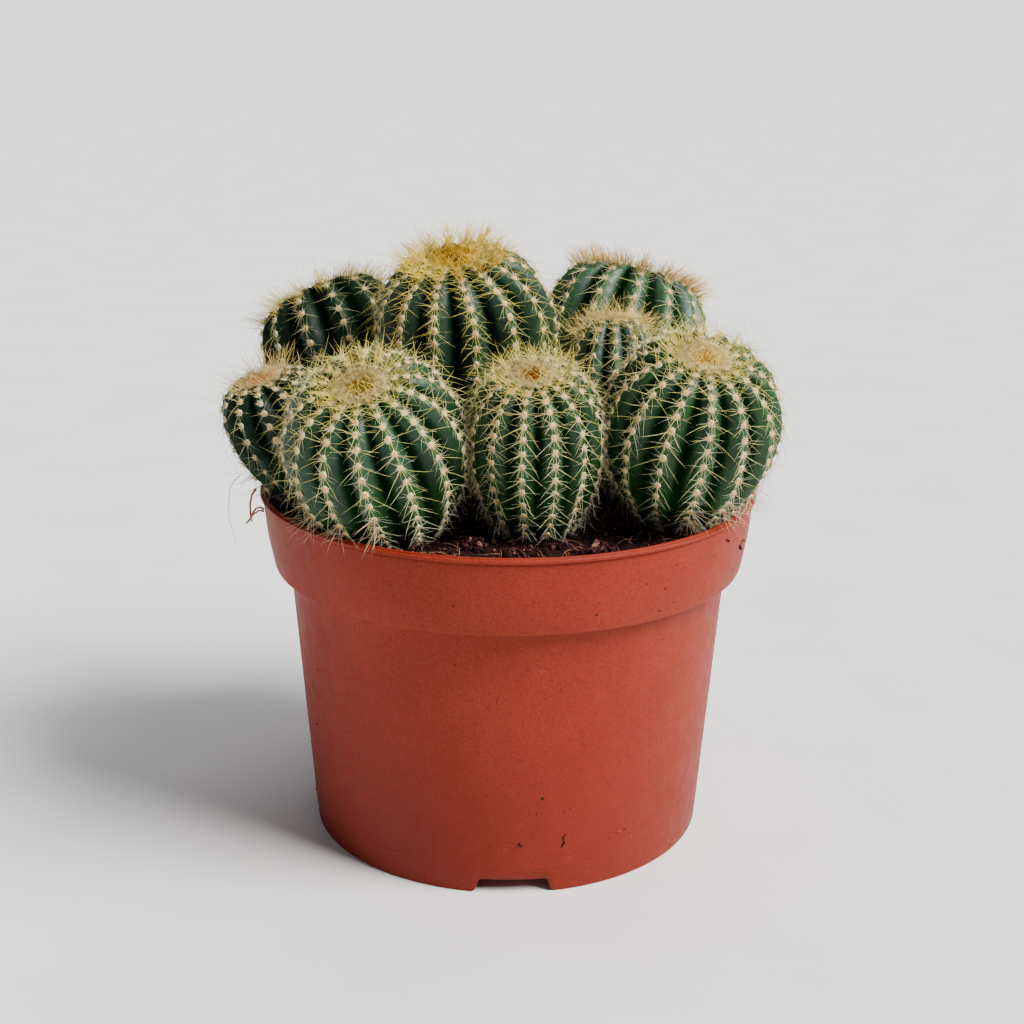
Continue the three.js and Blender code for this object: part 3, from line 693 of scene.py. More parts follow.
def skin_material(stem):
    """Waxy green skin: bluish bloom high up, fresh green low down, painted shade in the furrows."""
    paint = Paint(stem.name.replace("stem", "skin"))
    share, furrow = paint.value("share"), paint.value("furrow")
    # Painted shade and light: the stem's light factor darkens the skin of stems in shade and lightens
    # it on well-lit ones.
    high = lit(blend((6, 62, 9), (8, 46, 30), stem.blue), stem.light)
    middle = lit(blend((3, 58, 5), (3, 42, 18), stem.blue), stem.light)
    low = blend((14, 66, 5), (6, 48, 11), 0.7 * stem.blue)
    paint.base = paint.ramp(share, (0.1, high), (0.45, middle), (0.95, low))
    cloud, mottle = paint.noise(7, 4, 0.6), paint.noise(2.1, 4, 0.65)
    paint.layer((2, 28, 3), cloud, (0.35, 0.0), (0.7, 0.5))
    paint.layer((1, 22, 3), mottle, (0.42, 0.0), (0.64, 0.6))
    bloom = paint.ramp(paint.noise(11, 4, 0.65), (0.35, 0.0), (0.65, 0.12 + 0.33 * stem.blue))
    upper = paint.ramp(share, (0.25, 1.0), (0.7, 0.12))
    paint.layer(lit((52, 74, 72), stem.light), paint.times(bloom, upper))
    paint.layer(lit((58, 96, 30), stem.light), paint.noise(0.75, 2, 0.7), (0.56, 0.0), (0.7, 0.3))
    paint.layer(lit((50, 96, 38), stem.light), furrow, (0.0, 0.35), (0.12, 0.0))
    # Painted shade in the furrows, strongest high up where they are deepest.
    painted_furrow_shade = paint.ramp(furrow, (0.35, 0.0), (0.9, 0.92))
    upper = paint.ramp(share, (0.3, 1.0), (0.95, 0.35))
    paint.layer((1, 14, 2), paint.times(painted_furrow_shade, upper))
    scab = paint.ramp(paint.noise(2.6, 4, 0.7), (0.69, 0.0), (0.73, 0.8))
    lower = paint.ramp(share, (0.6, 0.0), (0.8, 1.0))
    paint.layer((124, 92, 38), paint.times(scab, lower))
    gloss = paint.ramp(paint.mix(0.5, cloud, mottle), (0.35, 0.42), (0.65, 0.58))
    roughness = paint.mix(paint.ramp(furrow, (0.5, 0.0), (0.8, 1.0)), gloss, 0.95)
    specular = paint.ramp(furrow, (0.3, 0.32 * max(0.4, stem.light)), (0.7, 0.03))
    relief = paint.mix(0.5, mottle, paint.noise(0.6, 3, 0.6))
    return paint.finish(roughness, specular, relief, 0.16, 0.6)


def wool_material(stem):
    """Felt of the wool cushions: cream at the rim, peach where the spines come out."""
    paint = Paint(stem.name.replace("stem", "wool"))
    crown, grown_over = rgba(stem.crown), paint.value("crown")
    rim = blend((232, 218, 158), (214, 168, 24), smoothstep(stem.gold, 0.5, 0.9))
    paint.base = paint.ramp(grown_over, (0.0, rim), (0.26, blend(crown, rim, 0.5)), (0.66, crown),
                            (1.0, lit(crown, 0.6)))
    paint.layer(lit(crown, 0.5), paint.noise(0.6, 3, 0.7), (0.35, 0.5), (0.6, 0.0))
    felt = paint.base
    paint.base = paint.ramp(paint.value("core"), (0.0, (242, 238, 214)), (0.3, (246, 230, 176)),
                            (0.6, (242, 204, 128)), (1.0, (232, 156, 78)))
    paint.layer((186, 132, 70), paint.noise(0.5, 3, 0.7), (0.35, 0.3), (0.6, 0.0))
    paint.layer(felt, grown_over, (0.0, 0.0), (0.04, 1.0))
    # Painted shade: the wool of stems in shade is darkened by the stem's light factor.
    paint.base = paint.mix(1.0, paint.base, 0.75 + 0.25 * min(1, stem.light), "MULTIPLY")
    return paint.finish(0.9, 0.12, paint.noise(0.45, 3, 0.7), 0.25, 0.8)


def spine_material(stem):
    """Horny needles: golden when young, cream to whitish lower down, tan at the foot."""
    paint = Paint(stem.name.replace("stem", "spines"))
    young = blend((252, 230, 84), (250, 192, 110), stem.peach)
    youngest = blend((244, 204, 10), (240, 164, 78), stem.peach)
    paint.base = paint.ramp(paint.value("tone"), (0.0, (204, 148, 98)), (0.2, (226, 230, 206)),
                            (0.5, (238, 230, 140)), (0.8, young), (1.0, youngest))
    paint.layer((204, 142, 64), paint.value("along"), (0.0, 0.6), (0.16, 0.0))
    paint.layer((240, 234, 196), paint.noise(1.5, 2, 0.6), (0.4, 0.0), (0.7, 0.25))
    # Every stem's spines are darkened a little, and more as painted shade on stems in shade.
    paint.base = paint.mix(1.0, paint.base, 0.55 + 0.3 * min(1, stem.light), "MULTIPLY")
    return paint.finish(0.4, 0.4, paint.noise(0.4, 2, 0.5), 0.03, 0.4)


# The pot


def fillet(outline, steps=4):
    """An outline of (radius, height, corner) with its corners rounded."""
    made = []
    for i, (r, z, corner) in enumerate(outline):
        here = np.array([r, z])
        before = np.array(outline[i - 1][:2]) - here
        after = np.array(outline[(i + 1) % len(outline)][:2]) - here
        if corner == 0:
            made.append(here)
            continue
        cut = min(corner, 0.45 * np.linalg.norm(before), 0.45 * np.linalg.norm(after))
        start = here + unit(before) * cut
        end = here + unit(after) * cut
        for t in np.linspace(0, 1, steps):
            made.append((1 - t) ** 2 * start + 2 * t * (1 - t) * here + t ** 2 * end)
    return np.array(made)


def pot_outline():
    """The wall's closed outline, from the foot up the outside and down the inside."""
    p = POT
    lip_foot = p.height - p.lip_height
    body = (p.body_top - p.foot) / p.collar_height
    side = p.foot + body * p.ridge
    inner_foot = p.foot - p.wall
    return [
        (inner_foot, 0.0, 0.25), (p.foot, 0.0, 0.35), (p.foot + body * 5.6, 5.6, 0),
        (side - 0.02, p.ridge - 0.5, 0.3), (side + 0.14, p.ridge, 0.3),
        (side + 0.04, p.ridge + 0.5, 0.3), (p.foot + body * 50, 50.0, 0),
        (p.body_top - 0.05, p.collar_height - 0.2, 0.5),
        (p.collar_foot, p.collar_height, 0.8), (p.collar_mid, p.mid_height, 5.0),
        (p.collar_top - 0.1, lip_foot - 1.0, 0.3), (p.collar_top - 0.35, lip_foot - 0.1, 0.2),
        (p.lip_radius, lip_foot + 0.1, 0.35), (p.lip_radius, p.height - 0.6, 0.3),
        (p.lip_radius - 0.75, p.height - 0.25, 0.2), (p.lip_radius - 0.95, p.height - 0.6, 0.12),
        (p.lip_radius - 1.15, p.height, 0.2), (p.collar_top - p.wall, p.height, 0.35),
        (p.collar_mid - p.wall, p.mid_height, 5.0),
        (p.collar_foot - p.wall, p.collar_height + p.wall, 0.8),
        (p.body_top - p.wall, p.collar_height - p.wall, 0.8),
        (inner_foot + body * p.floor_top, p.floor_top - 0.4, 0), (inner_foot, p.floor + 0.3, 0),
    ]


def make_pot(material):
    """The pot's wall, with notches cut from its foot."""
    outline = fillet(pot_outline())
    edges = [side * width / POT.foot for width, _ in NOTCH_EDGE for side in (-1, 1)]
    angles = list(np.linspace(0, TURN, POT.sectors, endpoint=False))
    step = TURN / POT.notches
    widest = max(edges) * 1.03
    for i in range(POT.notches):
        middle = POT.notch_turn + i * TURN / POT.notches
        angles = [a for a in angles if abs((a - middle + math.pi) % TURN - math.pi) > widest]
        angles += [(middle + edge) % TURN for edge in edges]
    angles = np.unique(np.round(angles, 6))
    off = np.abs((angles - POT.notch_turn + step / 2) % step - step / 2) * POT.foot
    z = outline[:, 1][:, None] + np.zeros(len(angles))
    z = np.where(z < POT.foot_edge, z + np.interp(off, *zip(*NOTCH_EDGE)), z)
    points = polar(outline[:, 0][:, None], angles, z)
    faces = grid_faces(len(points) + 1, len(angles))[:, ::-1] % (len(outline) * len(angles))
    shape = Shape()
    shape.add(points, [faces])
    shape.piece("pot_shell", material, "pot")


def circle(curve, x, y, radius, points):
    spline = curve.splines.new("POLY")
    spline.points.add(points - 1)
    spline.use_cyclic_u = True
    for i, point in enumerate(spline.points):
        angle = TURN * i / points
        spot = np.array([x + radius * math.cos(angle), y + radius * math.sin(angle), 0.0]) * MM
        point.co = (*spot, 1.0)


def make_floor(material):
    """The pot's bottom, a thin plate with round drain holes and softened edges."""
    curve = bpy.data.curves.new("pot_bottom", "CURVE")
    curve.dimensions = "2D"
    curve.fill_mode = "BOTH"
    curve.extrude = ((POT.floor_top - POT.floor) / 2 - DRAIN.soft) * MM
    curve.bevel_depth = DRAIN.soft * MM
    curve.bevel_resolution = 1
    circle(curve, 0, 0, POT.foot - POT.wall + DRAIN.soft, DRAIN.floor_points)
    angles = [(i + 0.5) * TURN / DRAIN.count for i in range(DRAIN.count)]
    holes = [(DRAIN.ring * math.cos(angle), DRAIN.ring * math.sin(angle)) for angle in angles]
    for x, y in [(0, 0), *holes]:
        circle(curve, x, y, DRAIN.radius + DRAIN.soft, DRAIN.points)
    draft = place_in_scene("pot_bottom_curve", curve)
    graph = bpy.context.evaluated_depsgraph_get()
    mesh = bpy.data.meshes.new_from_object(draft.evaluated_get(graph))
    bpy.data.objects.remove(draft)
    height = (POT.floor_top + POT.floor) / 2 * MM
    mesh.transform(Matrix.Translation((POT_AXIS[0], POT_AXIS[1], height)))
    show("pot_bottom", mesh, material, "pot")


def on_wall(heading, height, proud):
    """Points proud of the pot's outside, at headings in degrees and heights below its lip."""
    p = POT
    heights = (0, p.collar_height - 0.2, p.collar_height + 0.3, p.mid_height, p.height - p.lip_height)
    r = np.interp(height, heights, (p.foot, p.body_top, p.collar_foot, p.collar_mid, p.collar_top))
    return polar(r + proud, np.radians(heading), height)


def make_dirt(material):
    """Specks of soil that stick to the outside of the pot."""
    draw = chance(SEED.dirt)
    loose = [draw.uniform(low, high, LOOSE_SPECKS) for low, high in LOOSE_RANGES]
    heading, height, size, tone = np.concatenate([np.array(SPECKS).T, loose], 1)
    shape = Shape()
    add_crumbs(shape, on_wall(heading, height, 0.1), size, tone, draw)
    for thick, path in DIRT_FIBRES:
        points = on_wall(*np.array(path).T, 0.16)
        shape.add(*tube(points, thick * np.array([0.4, 0.9, 1.0, 0.5]), 6), tone=0.15)
    shape.piece("pot_dirt", material, smooth=False)


# The soil


def make_soil(material):
    """The filled body of peat: a lumpy top, plain sides and a bottom above the drain holes."""
    p = POT
    slope = (p.body_top - p.foot) / p.collar_height
    low = p.floor_top + SOIL.gap
    inside = p.wall + 2 * SOIL.gap
    rim = p.collar_top - inside - SOIL.rim_gap
    sides = [
        (0.3, low), (30.0, low), (p.foot + slope * low - inside, low),
        (p.body_top - inside, SOIL.shoulder[0]), (p.collar_foot - inside, SOIL.shoulder[1]),
        (rim, SOIL.top - 3),
    ]
    r = np.append([side[0] for side in sides], rim * (1 - np.linspace(0, 0.996, SOIL.rings)))[:, None]
    rings = polar(r, around(SOIL.sectors))
    steps = enumerate(SOIL.roughness, 1)
    rough = sum(high * ripple(rings, seed, size, waves) for seed, (high, size, waves) in steps)
    drop = SOIL.rim_drop * smoothstep(r, rim - 3, rim)
    rings[..., 2] = soil_height(rings) + rough - 0.3 - drop
    rings[:len(sides), :, 2] = [[side[1]] for side in sides]
    shape = Shape()
    shape.add(*closed_rings(rings, [0, 0, low], [0, 0, rings[-1, :, 2].mean()], True))
    shape.piece("peat_fill", material, "soil")


# A ball of twenty triangles.
GOLDEN = (1 + math.sqrt(5)) / 2
BALL_SIDE = [(-1, GOLDEN, 0), (1, GOLDEN, 0), (-1, -GOLDEN, 0), (1, -GOLDEN, 0)]
BALL_POINTS = unit(np.concatenate([np.roll(BALL_SIDE, k, 1) for k in range(3)]))
BALL_FACES = [
    (0, 11, 5), (0, 5, 1), (0, 1, 7), (0, 7, 10), (0, 10, 11), (1, 5, 9), (5, 11, 4), (11, 10, 2),
    (10, 7, 6), (7, 1, 8), (3, 9, 4), (3, 4, 2), (3, 2, 6), (3, 6, 8), (3, 8, 9), (4, 9, 5),
    (2, 4, 11), (6, 2, 10), (8, 6, 7), (9, 8, 1),
]


def add_crumbs(shape, middles, sizes, tones, draw):
    """Rough grains: dented balls, each squeezed and turned its own way."""
    for middle, size, tone in zip(middles, sizes, tones):
        dents = draw.uniform(*GRAIN.dents, (len(BALL_POINTS), 1))
        spread = BALL_POINTS * dents * draw.uniform(*GRAIN.squeeze, 3)
        turn = np.array(Matrix.Rotation(draw.uniform(0, 6.28), 3, tuple(unit(draw.normal(size=3)))))
        shape.add(middle + size / 2 * spread @ turn.T, [BALL_FACES], tone=tone)


def open_soil(draw, count, reach=80.5):
    """Random places on the soil that no stem covers."""
    r = reach * np.sqrt(draw.uniform(0, 1, count))
    points = polar(r, draw.uniform(0, TURN, count))
    points[:, 2] = soil_height(points)
    covered = np.zeros(count, bool)
    for stem in STEMS:
        covered |= near_stem(stem, points + UP, 0.3)
    return points[~covered]


def make_crumbs(material):
    draw = chance(SEED.crumbs)
    shape = Shape()
    places = open_soil(draw, CRUMBS.count)
    sizes = CRUMBS.least + CRUMBS.more * draw.uniform(0, 1, len(places)) ** 3
    places[:, 2] += CRUMBS.proud * sizes
    for x, y, wide, high in HEAPS:
        turn, out = draw.uniform(0, TURN, HEAP.count), np.sqrt(draw.uniform(0, 1, HEAP.count))
        heap = polar(wide * out, turn, high * (1 - out ** 2)) + [x, y, 0]
        heap[:, 2] += soil_height(heap)
        places = np.concatenate([places, heap])
        sizes = np.append(sizes, draw.uniform(*HEAP.size, HEAP.count))
    tones = np.clip(draw.normal(CRUMBS.tone, CRUMBS.unrest, len(places)), 0, CRUMBS.palest)
    add_crumbs(shape, places, sizes, tones, draw)
    add_crumbs(shape, [CHIP.place], [CHIP.size], [CHIP.tone], draw)
    shape.piece("peat_crumbs", material, smooth=False)


def make_fibres(material):
    """Root hairs that lie across the crumbs in loose bows."""
    draw = chance(SEED.fibres)
    shape = Shape()
    steps = FIBRES.steps
    for place in open_soil(draw, FIBRES.count):
        length = draw.uniform(*FIBRES.length)
        heading = draw.uniform(0, TURN) + np.cumsum(draw.normal(0, FIBRES.wander, steps))
        path = place + np.cumsum(polar(1, heading) * length / steps, 0)
        arch = np.sin(np.linspace(0, math.pi, steps)) * draw.uniform(*FIBRES.arch)
        path[:, 2] = soil_height(path) + FIBRES.lift + arch
        out = np.hypot(path[:, 0], path[:, 1]).max()
        if out > FIBRES.reach or any(near_stem(stem, path, 0.1).any() for stem in STEMS):
            continue
        radius = draw.uniform(*FIBRES.thick) * np.linspace(*FIBRES.taper, steps)
        shape.add(*tube(path, radius, FIBRES.sides))
    shape.piece("root_hairs", material)


def make_rootlets(material):
    """A branched rootlet and a fine hair that hang beside the rim at the left."""
    shape = Shape()
    for thick, path in ROOTLETS:
        shape.add(*tube(path, thick * np.linspace(1.0, 0.75, len(path)), 6))
    shape.add(*tube(HAIR, np.linspace(0.14, 0.08, len(HAIR)), 4))
    shape.piece("rootlets", material)


# The stems


def areoles_of(stem, draw):
    """Where the wool cushions lie, as shares of the side and whole rib numbers, and their ways."""
    share = np.linspace(0, 1, 240)
    r, along = crest_at(stem, share)
    way = np.append(0, np.cumsum(np.hypot(np.diff(r), np.diff(along))))
    last = np.interp(AREOLE.last, share, way)
    found = []
    for rib in range(stem.ribs):
        at = AREOLE.first * stem.radius + draw.uniform(0, AREOLE.stagger)
        while at < last:
            here = float(np.interp(at, way, share))
            found.append((here, rib))
            gap = grown(stem, 0.8, 0.2, 28) * np.interp(here, *SPACING)
            at += gap * draw.uniform(0.93, 1.07)
    share, rib = np.array(found).T
    up, side, out = skin_frame(stem, share, rib)
    return Table(share=share, rib=rib, up=up, side=side, out=out)


def swelling(stem, share, rib, areoles):
    """How far the skin bulges under the wool cushions."""
    r, along = crest_at(stem, share)
    total = np.zeros(share.shape)
    nearest = np.round(rib)
    across = (rib - nearest) * TURN * r / stem.ribs
    for number in range(stem.ribs):
        mine = (nearest % stem.ribs) == number
        areole_r, areole_along = crest_at(stem, areoles.share[areoles.rib == number])
        gap = np.hypot(r[mine][:, None] - areole_r, along[mine][:, None] - areole_along)
        total[mine] = np.exp(-((gap / SKIN.swell_along) ** 2)).sum(1)
    return SKIN.swell * total * np.exp(-((across / SKIN.swell_across) ** 2))


def make_body(stem, areoles, seed, material):
    """The ribbed skin, closed at its sunken apex and at its buried root."""
    columns = stem.ribs * SKIN.rib_steps
    rib = np.arange(columns) / SKIN.rib_steps
    share = np.linspace(0, 1, int(1.2 * stem.length / SKIN.row_length) + 1)[1:]
    shares, ribs = [grid.copy() for grid in np.meshgrid(share, rib, indexing="ij")]
    flat = skin_at(stem, shares, ribs)
    waves = ripple(flat, seed, 13) + 0.5 * ripple(flat, seed + 50, 5)
    calm = smoothstep(shares, 0.02, 0.2)
    swell = swelling(stem, shares, ribs, areoles) + SKIN.ripple * calm * waves
    foot = np.full(columns, FORM.root_share * stem.foot)
    root = [ring_point(stem, np.full(columns, -depth), foot, rib_angle(stem, rib))
            for depth in (2.0, 6.0, FORM.root_depth)]
    rings = np.concatenate([skin_at(stem, shares, ribs, swell), np.stack(root)])
    end = axis_at(stem, np.array(-FORM.root_depth))[0]
    furrow = np.tile(furrow_at(rib), len(rings))
    level = np.repeat(np.append(share, [1.0] * len(root)), columns)
    shape = Shape()
    shape.add(*closed_rings(rings, skin_at(stem, 0.0, 0.0), end),
              share=np.append(level, [0.0, 1.0]), furrow=np.append(furrow, [0.0, 0.0]))
    shape.piece(stem.name + "_skin", material, stem.name)


def cushion(draw):
    """A low, uneven dome of unit size: its points, faces and how near each is to the middle."""
    levels = np.linspace(0, 1, DOME.rings + 1)[1:]
    turn, spread = (levels * math.pi / 2)[:, None], (DOME.rings, DOME.sides)
    r = np.sin(turn) * draw.uniform(*DOME.spread, spread)
    h = np.cos(turn) * draw.uniform(*DOME.rise, spread) - DOME.sunk
    rings = polar(r, around(DOME.sides), h)
    points, faces = closed_rings(rings, [0, 0, DOME.top], [0, 0, DOME.foot])
    return points, faces, np.append(np.repeat(1 - levels, DOME.sides), [1.0, 0.0])


def make_wool(stem, areoles, seed, material):
    """A felt cushion with loose hairs on every areole, and felt in the sunken crown."""
    draw = chance(seed, SEED.wool)
    place = skin_at(stem, areoles.share, areoles.rib, SKIN.swell * 0.9)
    size = np.interp(areoles.share, *SIZES) * grown(stem, 0.72, 0.28, 26)
    shape = Shape()
    kinds = [cushion(draw) for _ in range(AREOLE.kinds)]
    for i, (side, up, out) in enumerate(zip(areoles.side, areoles.up, areoles.out)):
        points, faces, core = kinds[i % AREOLE.kinds]
        x, y, z = points[:, :1], points[:, 1:2], points[:, 2:]
        spread = AREOLE.width * x * side + AREOLE.length * y * up + AREOLE.height * z * out
        points = place[i] + size[i] * draw.uniform(0.88, 1.12) * spread
        shape.add(points, faces, core=core, crown=0.0)
    add_hairs(shape, areoles, place, size, draw)
    add_crown_mat(shape, stem, draw)
    add_crown_felt(shape, stem, draw)
    shape.piece(stem.name + "_wool", material)


def add_hairs(shape, areoles, place, size, draw):
    """Short loose hairs that fray each cushion into a star."""
    spread = (len(place), HAIRS.count)
    out = areoles.out[:, None]
    flat = spokes(areoles.side, areoles.up, draw.uniform(0, TURN, spread))
    way = unit(flat + out * draw.uniform(*HAIRS.rise, (*spread, 1))).reshape(-1, 3)
    start = draw.uniform(*HAIRS.start, (*spread, 1)) * size[:, None, None]
    root = (place[:, None] + flat * start * AREOLE.width + out * 0.2).reshape(-1, 3)
    length = (draw.uniform(*HAIRS.length, spread) * size[:, None]).ravel()
    points, faces, along = needles(root, way, 0 * way, length, np.full(len(root), HAIRS.thick))
    shape.add(points, faces, core=HAIRS.core * (1 - along), crown=0.0)


def crown_size(stem):
    """How large the woolly part of a crown is, set against a full-grown stem's."""
    widening = 1 + CROWN.widening * max(0, stem.hollow - CROWN.plain_hollow)
    return grown(stem, 0.72, 0.28, 28) * widening


def crown_frame(stem):
    """The apex of a crown and the outward direction there."""
    point, _, _, axis = axis_at(stem, crest_at(stem, 0.0)[1])
    middle = nod(stem, point, 0.0)
    return middle, nod(stem, point + axis, 0.0) - middle


def crown_point(stem, reach, angle, lift):
    """Points of the crown's lining at distances from its middle, level over ribs and furrows."""
    reach, angle = np.broadcast_arrays(reach, angle)
    share = share_at(stem, reach)
    r, along = crest_at(stem, share)
    return nod(stem, ring_point(stem, along + lift, r, angle), share)


def raying(stem, root, lean, unrest, draw):
    """Directions that lean away from a crown's middle, each with some unrest."""
    middle, axis = crown_frame(stem)
    offset = root - middle
    away = unit(offset - axis * (offset * axis).sum(-1, keepdims=True))
    return unit(axis + lean[:, None] * away + unrest * draw.normal(0, 1, root.shape))


def add_crown_mat(shape, stem, draw):
    """The felt that lines the hollow and hides the ribs there."""
    spread = (MAT.rings, MAT.sides)
    out = np.linspace(0.06, 1, MAT.rings)
    tuck = MAT.tuck * smoothstep(out, 0.85, 1)[:, None]
    lift = MAT.lift + MAT.unrest * draw.normal(0, 1, spread) - tuck
    reach = MAT.reach * crown_size(stem) * out[:, None] * draw.uniform(0.95, 1.05, spread)
    middle, axis = crown_frame(stem)
    rings = crown_point(stem, reach, around(MAT.sides), lift)
    golden = np.append(np.repeat(1 - smoothstep(out, -0.1, 0.9), MAT.sides), [1.0, 0.1])
    shape.add(*closed_rings(rings, middle + 0.3 * axis, middle - 2 * axis),
              core=CROWN.core, crown=np.maximum(CROWN.edge, golden))


def add_crown_felt(shape, stem, draw):
    """Matted hairs that ray from the hollow, golden brown in its middle and paler round it."""
    count = int(FELT.for_radius * stem.radius)
    out = draw.uniform(0, 1, count) ** FELT.crowding
    turn = draw.uniform(0, TURN, count)
    root = crown_point(stem, crown_size(stem) * (0.3 + 6.7 * out), turn, 0.2)
    way = raying(stem, root, 0.3 + 1.5 * out, FELT.unrest, draw)
    length = crown_size(stem) * (1.7 + 2.1 * out) * draw.uniform(0.7, 1.2, count)
    bend = FELT.bend * draw.normal(0, 1, way.shape)
    points, faces, along = needles(root, way, bend, length, np.full(count, FELT.thick))
    golden = np.repeat(1 - smoothstep(out, 0.0, 1.0), points.shape[1])
    crown = np.maximum(CROWN.edge, golden * (1 - 0.2 * along))
    shape.add(points, faces, core=CROWN.core, crown=crown)


def flank_spines(stem, areoles, kind, draw):
    """Roots, ways, lengths, thicknesses and tones of one kind of the spines on all areoles."""
    share, up = areoles.share, areoles.up
    spread = (len(share), kind.count)
    young = 1 - smoothstep(share, *FLANK.young)[:, None]
    low = smoothstep(share, *FLANK.low)[:, None]
    fan = (kind.fan + kind.young_fan * young) * (np.arange(kind.count) / (kind.count - 1) - 0.5)
    angle = math.pi + fan + draw.normal(0, FLANK.unrest, spread)
    downward = np.clip(-np.cos(angle), 0, 1)
    rise = kind.rise + FLANK.young_rise * young + FLANK.low_rise * low * downward
    rise = rise + draw.normal(0, FLANK.rise_unrest, spread)
    flat = spokes(up, areoles.side, angle)
    way = flat * np.cos(rise)[..., None] + areoles.out[:, None] * np.sin(rise)[..., None]
    way = way - FLANK.droop * (1 - young)[..., None] * up[:, None]
    full = grown(stem, 0.8, 0.2, 26) * np.interp(share, *LENGTHS)[:, None]
    length = (kind.length + kind.young_length * young) * full
    length = length * (1 + FLANK.low_length * downward * low)
    length = length * draw.uniform(*FLANK.length, spread)
    fringe = min(stem.fringe, FLANK.full_fringe) - 1
    length = length * (1 + FLANK.fringe_length * fringe * young)
    place = skin_at(stem, share, areoles.rib, SKIN.swell + FLANK.proud)
    root = place[:, None] + kind.start * flat
    thick = kind.thick * draw.uniform(*FLANK.thick, spread)
    golden = (stem.gold - CROWN.plain_gold) * FLANK.gold * (1 - smoothstep(share, *FLANK.golden))
    tone = (np.interp(share, TONE_SHARES, kind.tones) + golden)[:, None]
    tone = tone + draw.normal(0, FLANK.tone_unrest, spread)
    return root.reshape(-1, 3), unit(way).reshape(-1, 3), length.ravel(), thick.ravel(), tone.ravel()


def crown_spines(stem, draw):
    """The same of the young spines that crowd round the hollow, longest at its outer edge."""
    deeper = max(0, stem.hollow - CROWN.plain_hollow)
    golder = max(0, stem.gold - YOUNG.plain_gold)
    wide = YOUNG.width + YOUNG.hollow_width * deeper + YOUNG.gold_width * golder
    size = crown_size(stem)
    count = int((YOUNG.least + YOUNG.number * wide) * stem.radius * stem.fringe * size)
    out = np.sqrt(draw.uniform(0, 1, count))
    reach = np.minimum(size * (YOUNG.start + wide * out), YOUNG.reach * stem.radius)
    rib = np.round(draw.uniform(0, stem.ribs, count)) + draw.normal(0, YOUNG.beside, count)
    root = skin_at(stem, share_at(stem, reach), rib)
    way = raying(stem, root, YOUNG.lean + YOUNG.more_lean * out, YOUNG.unrest, draw)
    length = 3.6 + 2.8 * out + 1.2 * min(stem.fringe, YOUNG.full_fringe)
    length = length * draw.uniform(*YOUNG.length, count)
    thick = (0.15 + 0.03 * out) * (0.8 + 0.13 * stem.fringe) * draw.uniform(*YOUNG.thick, count)
    tone = YOUNG.tone - YOUNG.outer_tone * out + (stem.gold - CROWN.plain_gold) * YOUNG.gold
    return root, way, length, thick, tone + draw.normal(0, YOUNG.tone_unrest, count)


def rim_spines(stem, areoles, draw):
    """The same of the long, tan ones of the lowest areoles, which hang over the pot's rim."""
    root = skin_at(stem, areoles.share, areoles.rib, SKIN.swell)
    out = np.hypot(root[:, 0], root[:, 1])
    at_rim = (out > POT.lip_radius - RIM.inside) & (root[:, 2] < POT.height + RIM.above)
    root = np.repeat(root[at_rim], RIM.count, 0)
    away = unit(root * [1, 1, 0])
    beside = np.stack([-away[:, 1], away[:, 0], 0 * away[:, 0]], -1)
    many = (len(root), 1)
    way = away + beside * draw.normal(0, 0.5, many) + UP * draw.uniform(-1.3, 0.1, many)
    length, thick = [draw.uniform(*span, len(root)) for span in (RIM.length, RIM.thick)]
    return root, unit(way), length, thick, draw.normal(0.05, 0.06, len(root))


def make_spines(stem, areoles, seed, material):
    """All spines of a stem, shortened or left out where they would meet something."""
    draw = chance(seed, SEED.spines)
    shape = Shape()
    groups = [(flank_spines(stem, areoles, kind, draw), kind.stations) for kind in SPINES]
    groups.append((crown_spines(stem, draw), LONG_STATIONS))
    groups.append((rim_spines(stem, areoles, draw), LONG_STATIONS))
    for (root, way, length, thick, tone), stations in groups:
        bend = 0.15 * draw.normal(0, 1, way.shape)
        bend[:, 2] -= 0.07
        kept = clear_share(stem, root, way, bend, length)
        keep = (kept > 0) & (draw.uniform(0, 1, len(kept)) < stem.spiny)
        if not keep.any():
            continue
        bend, length = (bend * kept[:, None])[keep], (length * kept)[keep]
        points, faces, along = needles(root[keep], way[keep], bend, length, thick[keep], stations)
        tones = np.repeat(np.clip(tone[keep], 0, 1), points.shape[1])
        shape.add(points, faces, tone=tones, along=along)
    shape.piece(stem.name + "_spines", material)


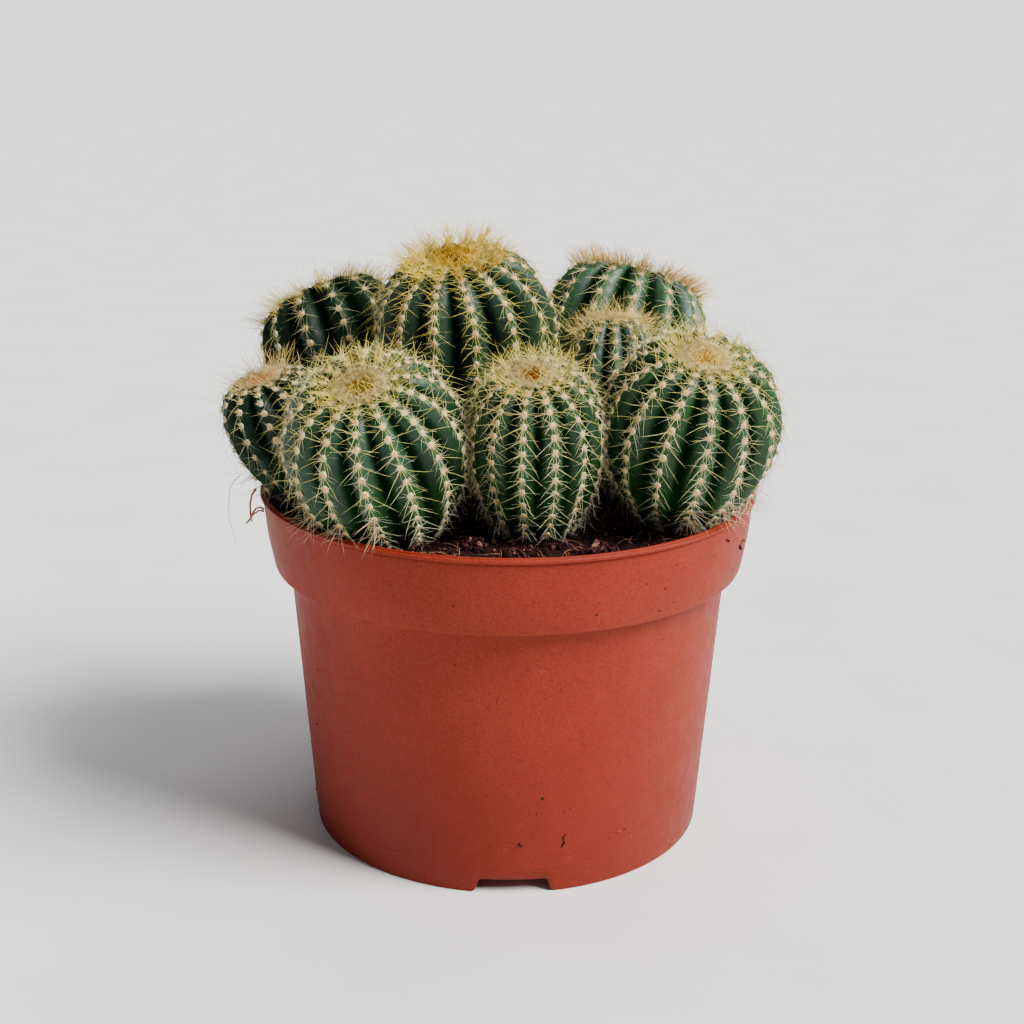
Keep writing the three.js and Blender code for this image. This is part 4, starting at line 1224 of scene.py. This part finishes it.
def make_stem(stem, seed):
    areoles = areoles_of(stem, chance(seed, SEED.areoles))
    make_body(stem, areoles, seed, skin_material(stem))
    make_wool(stem, areoles, seed, wool_material(stem))
    make_spines(stem, areoles, seed, spine_material(stem))


# The stage


def make_camera():
    data = bpy.data.cameras.new("camera")
    data.sensor_width = 36
    data.lens = VIEW.lens
    camera = place_in_scene("camera", data)
    turn = Matrix.Rotation(math.pi / 2 - VIEW.pitch, 4, "X") @ Matrix.Rotation(VIEW.roll, 4, "Z")
    camera.matrix_world = Matrix.Translation(np.array(VIEW.spot) * MM + POT_AXIS) @ turn
    bpy.context.scene.camera = camera


def make_lights():
    for name, (heading, height, width, power, tint) in LIGHTS.items():
        data = bpy.data.lights.new(name, "SUN")
        data.energy = power
        data.angle = math.radians(width)
        data.color = tint
        light = place_in_scene(name, data)
        light.rotation_euler = (math.radians(90 - height), 0, math.radians(heading + 90))


def make_sky():
    """An even, dim sky that turns pale just over the horizon, where the floor ends."""
    sky = Paint("studio", "worlds", "Generated")
    background = sky.tree.nodes["Background"].inputs
    sky.put(background["Color"], sky.ramp(sky.height(), (0.03, SKY.pale), (0.07, SKY.dim)))
    sky.put(background["Strength"], SKY.strength)
    bpy.context.scene.world = sky.owner


def make_ground():
    """The pale floor that the pot stands on."""
    paint = Paint("pale_floor")
    paint.base = paint.ramp(paint.noise(60, 2, 0.5), (0.3, (230, 230, 229)), (0.7, (234, 234, 233)))
    mesh = bpy.data.meshes.new("floor")
    points = polar(FLOOR.reach, np.linspace(0, TURN, FLOOR.sides, endpoint=False))
    mesh.from_pydata(points.tolist(), [], [list(range(FLOOR.sides))])
    mesh.materials.append(paint.finish(0.9, 0.2))
    floor = place_in_scene("floor", mesh)


plastic = pot_material()
make_pot(plastic)
make_floor(plastic)
make_soil(soil_material())
crumbs = crumb_material()
make_crumbs(crumbs)
make_dirt(crumbs)
fibres = fibre_material()
make_fibres(fibres)
make_rootlets(fibres)
for number, stem in enumerate(STEMS):
    make_stem(stem, SEED.stems + number)
make_ground()
make_sky()
make_lights()
make_camera()
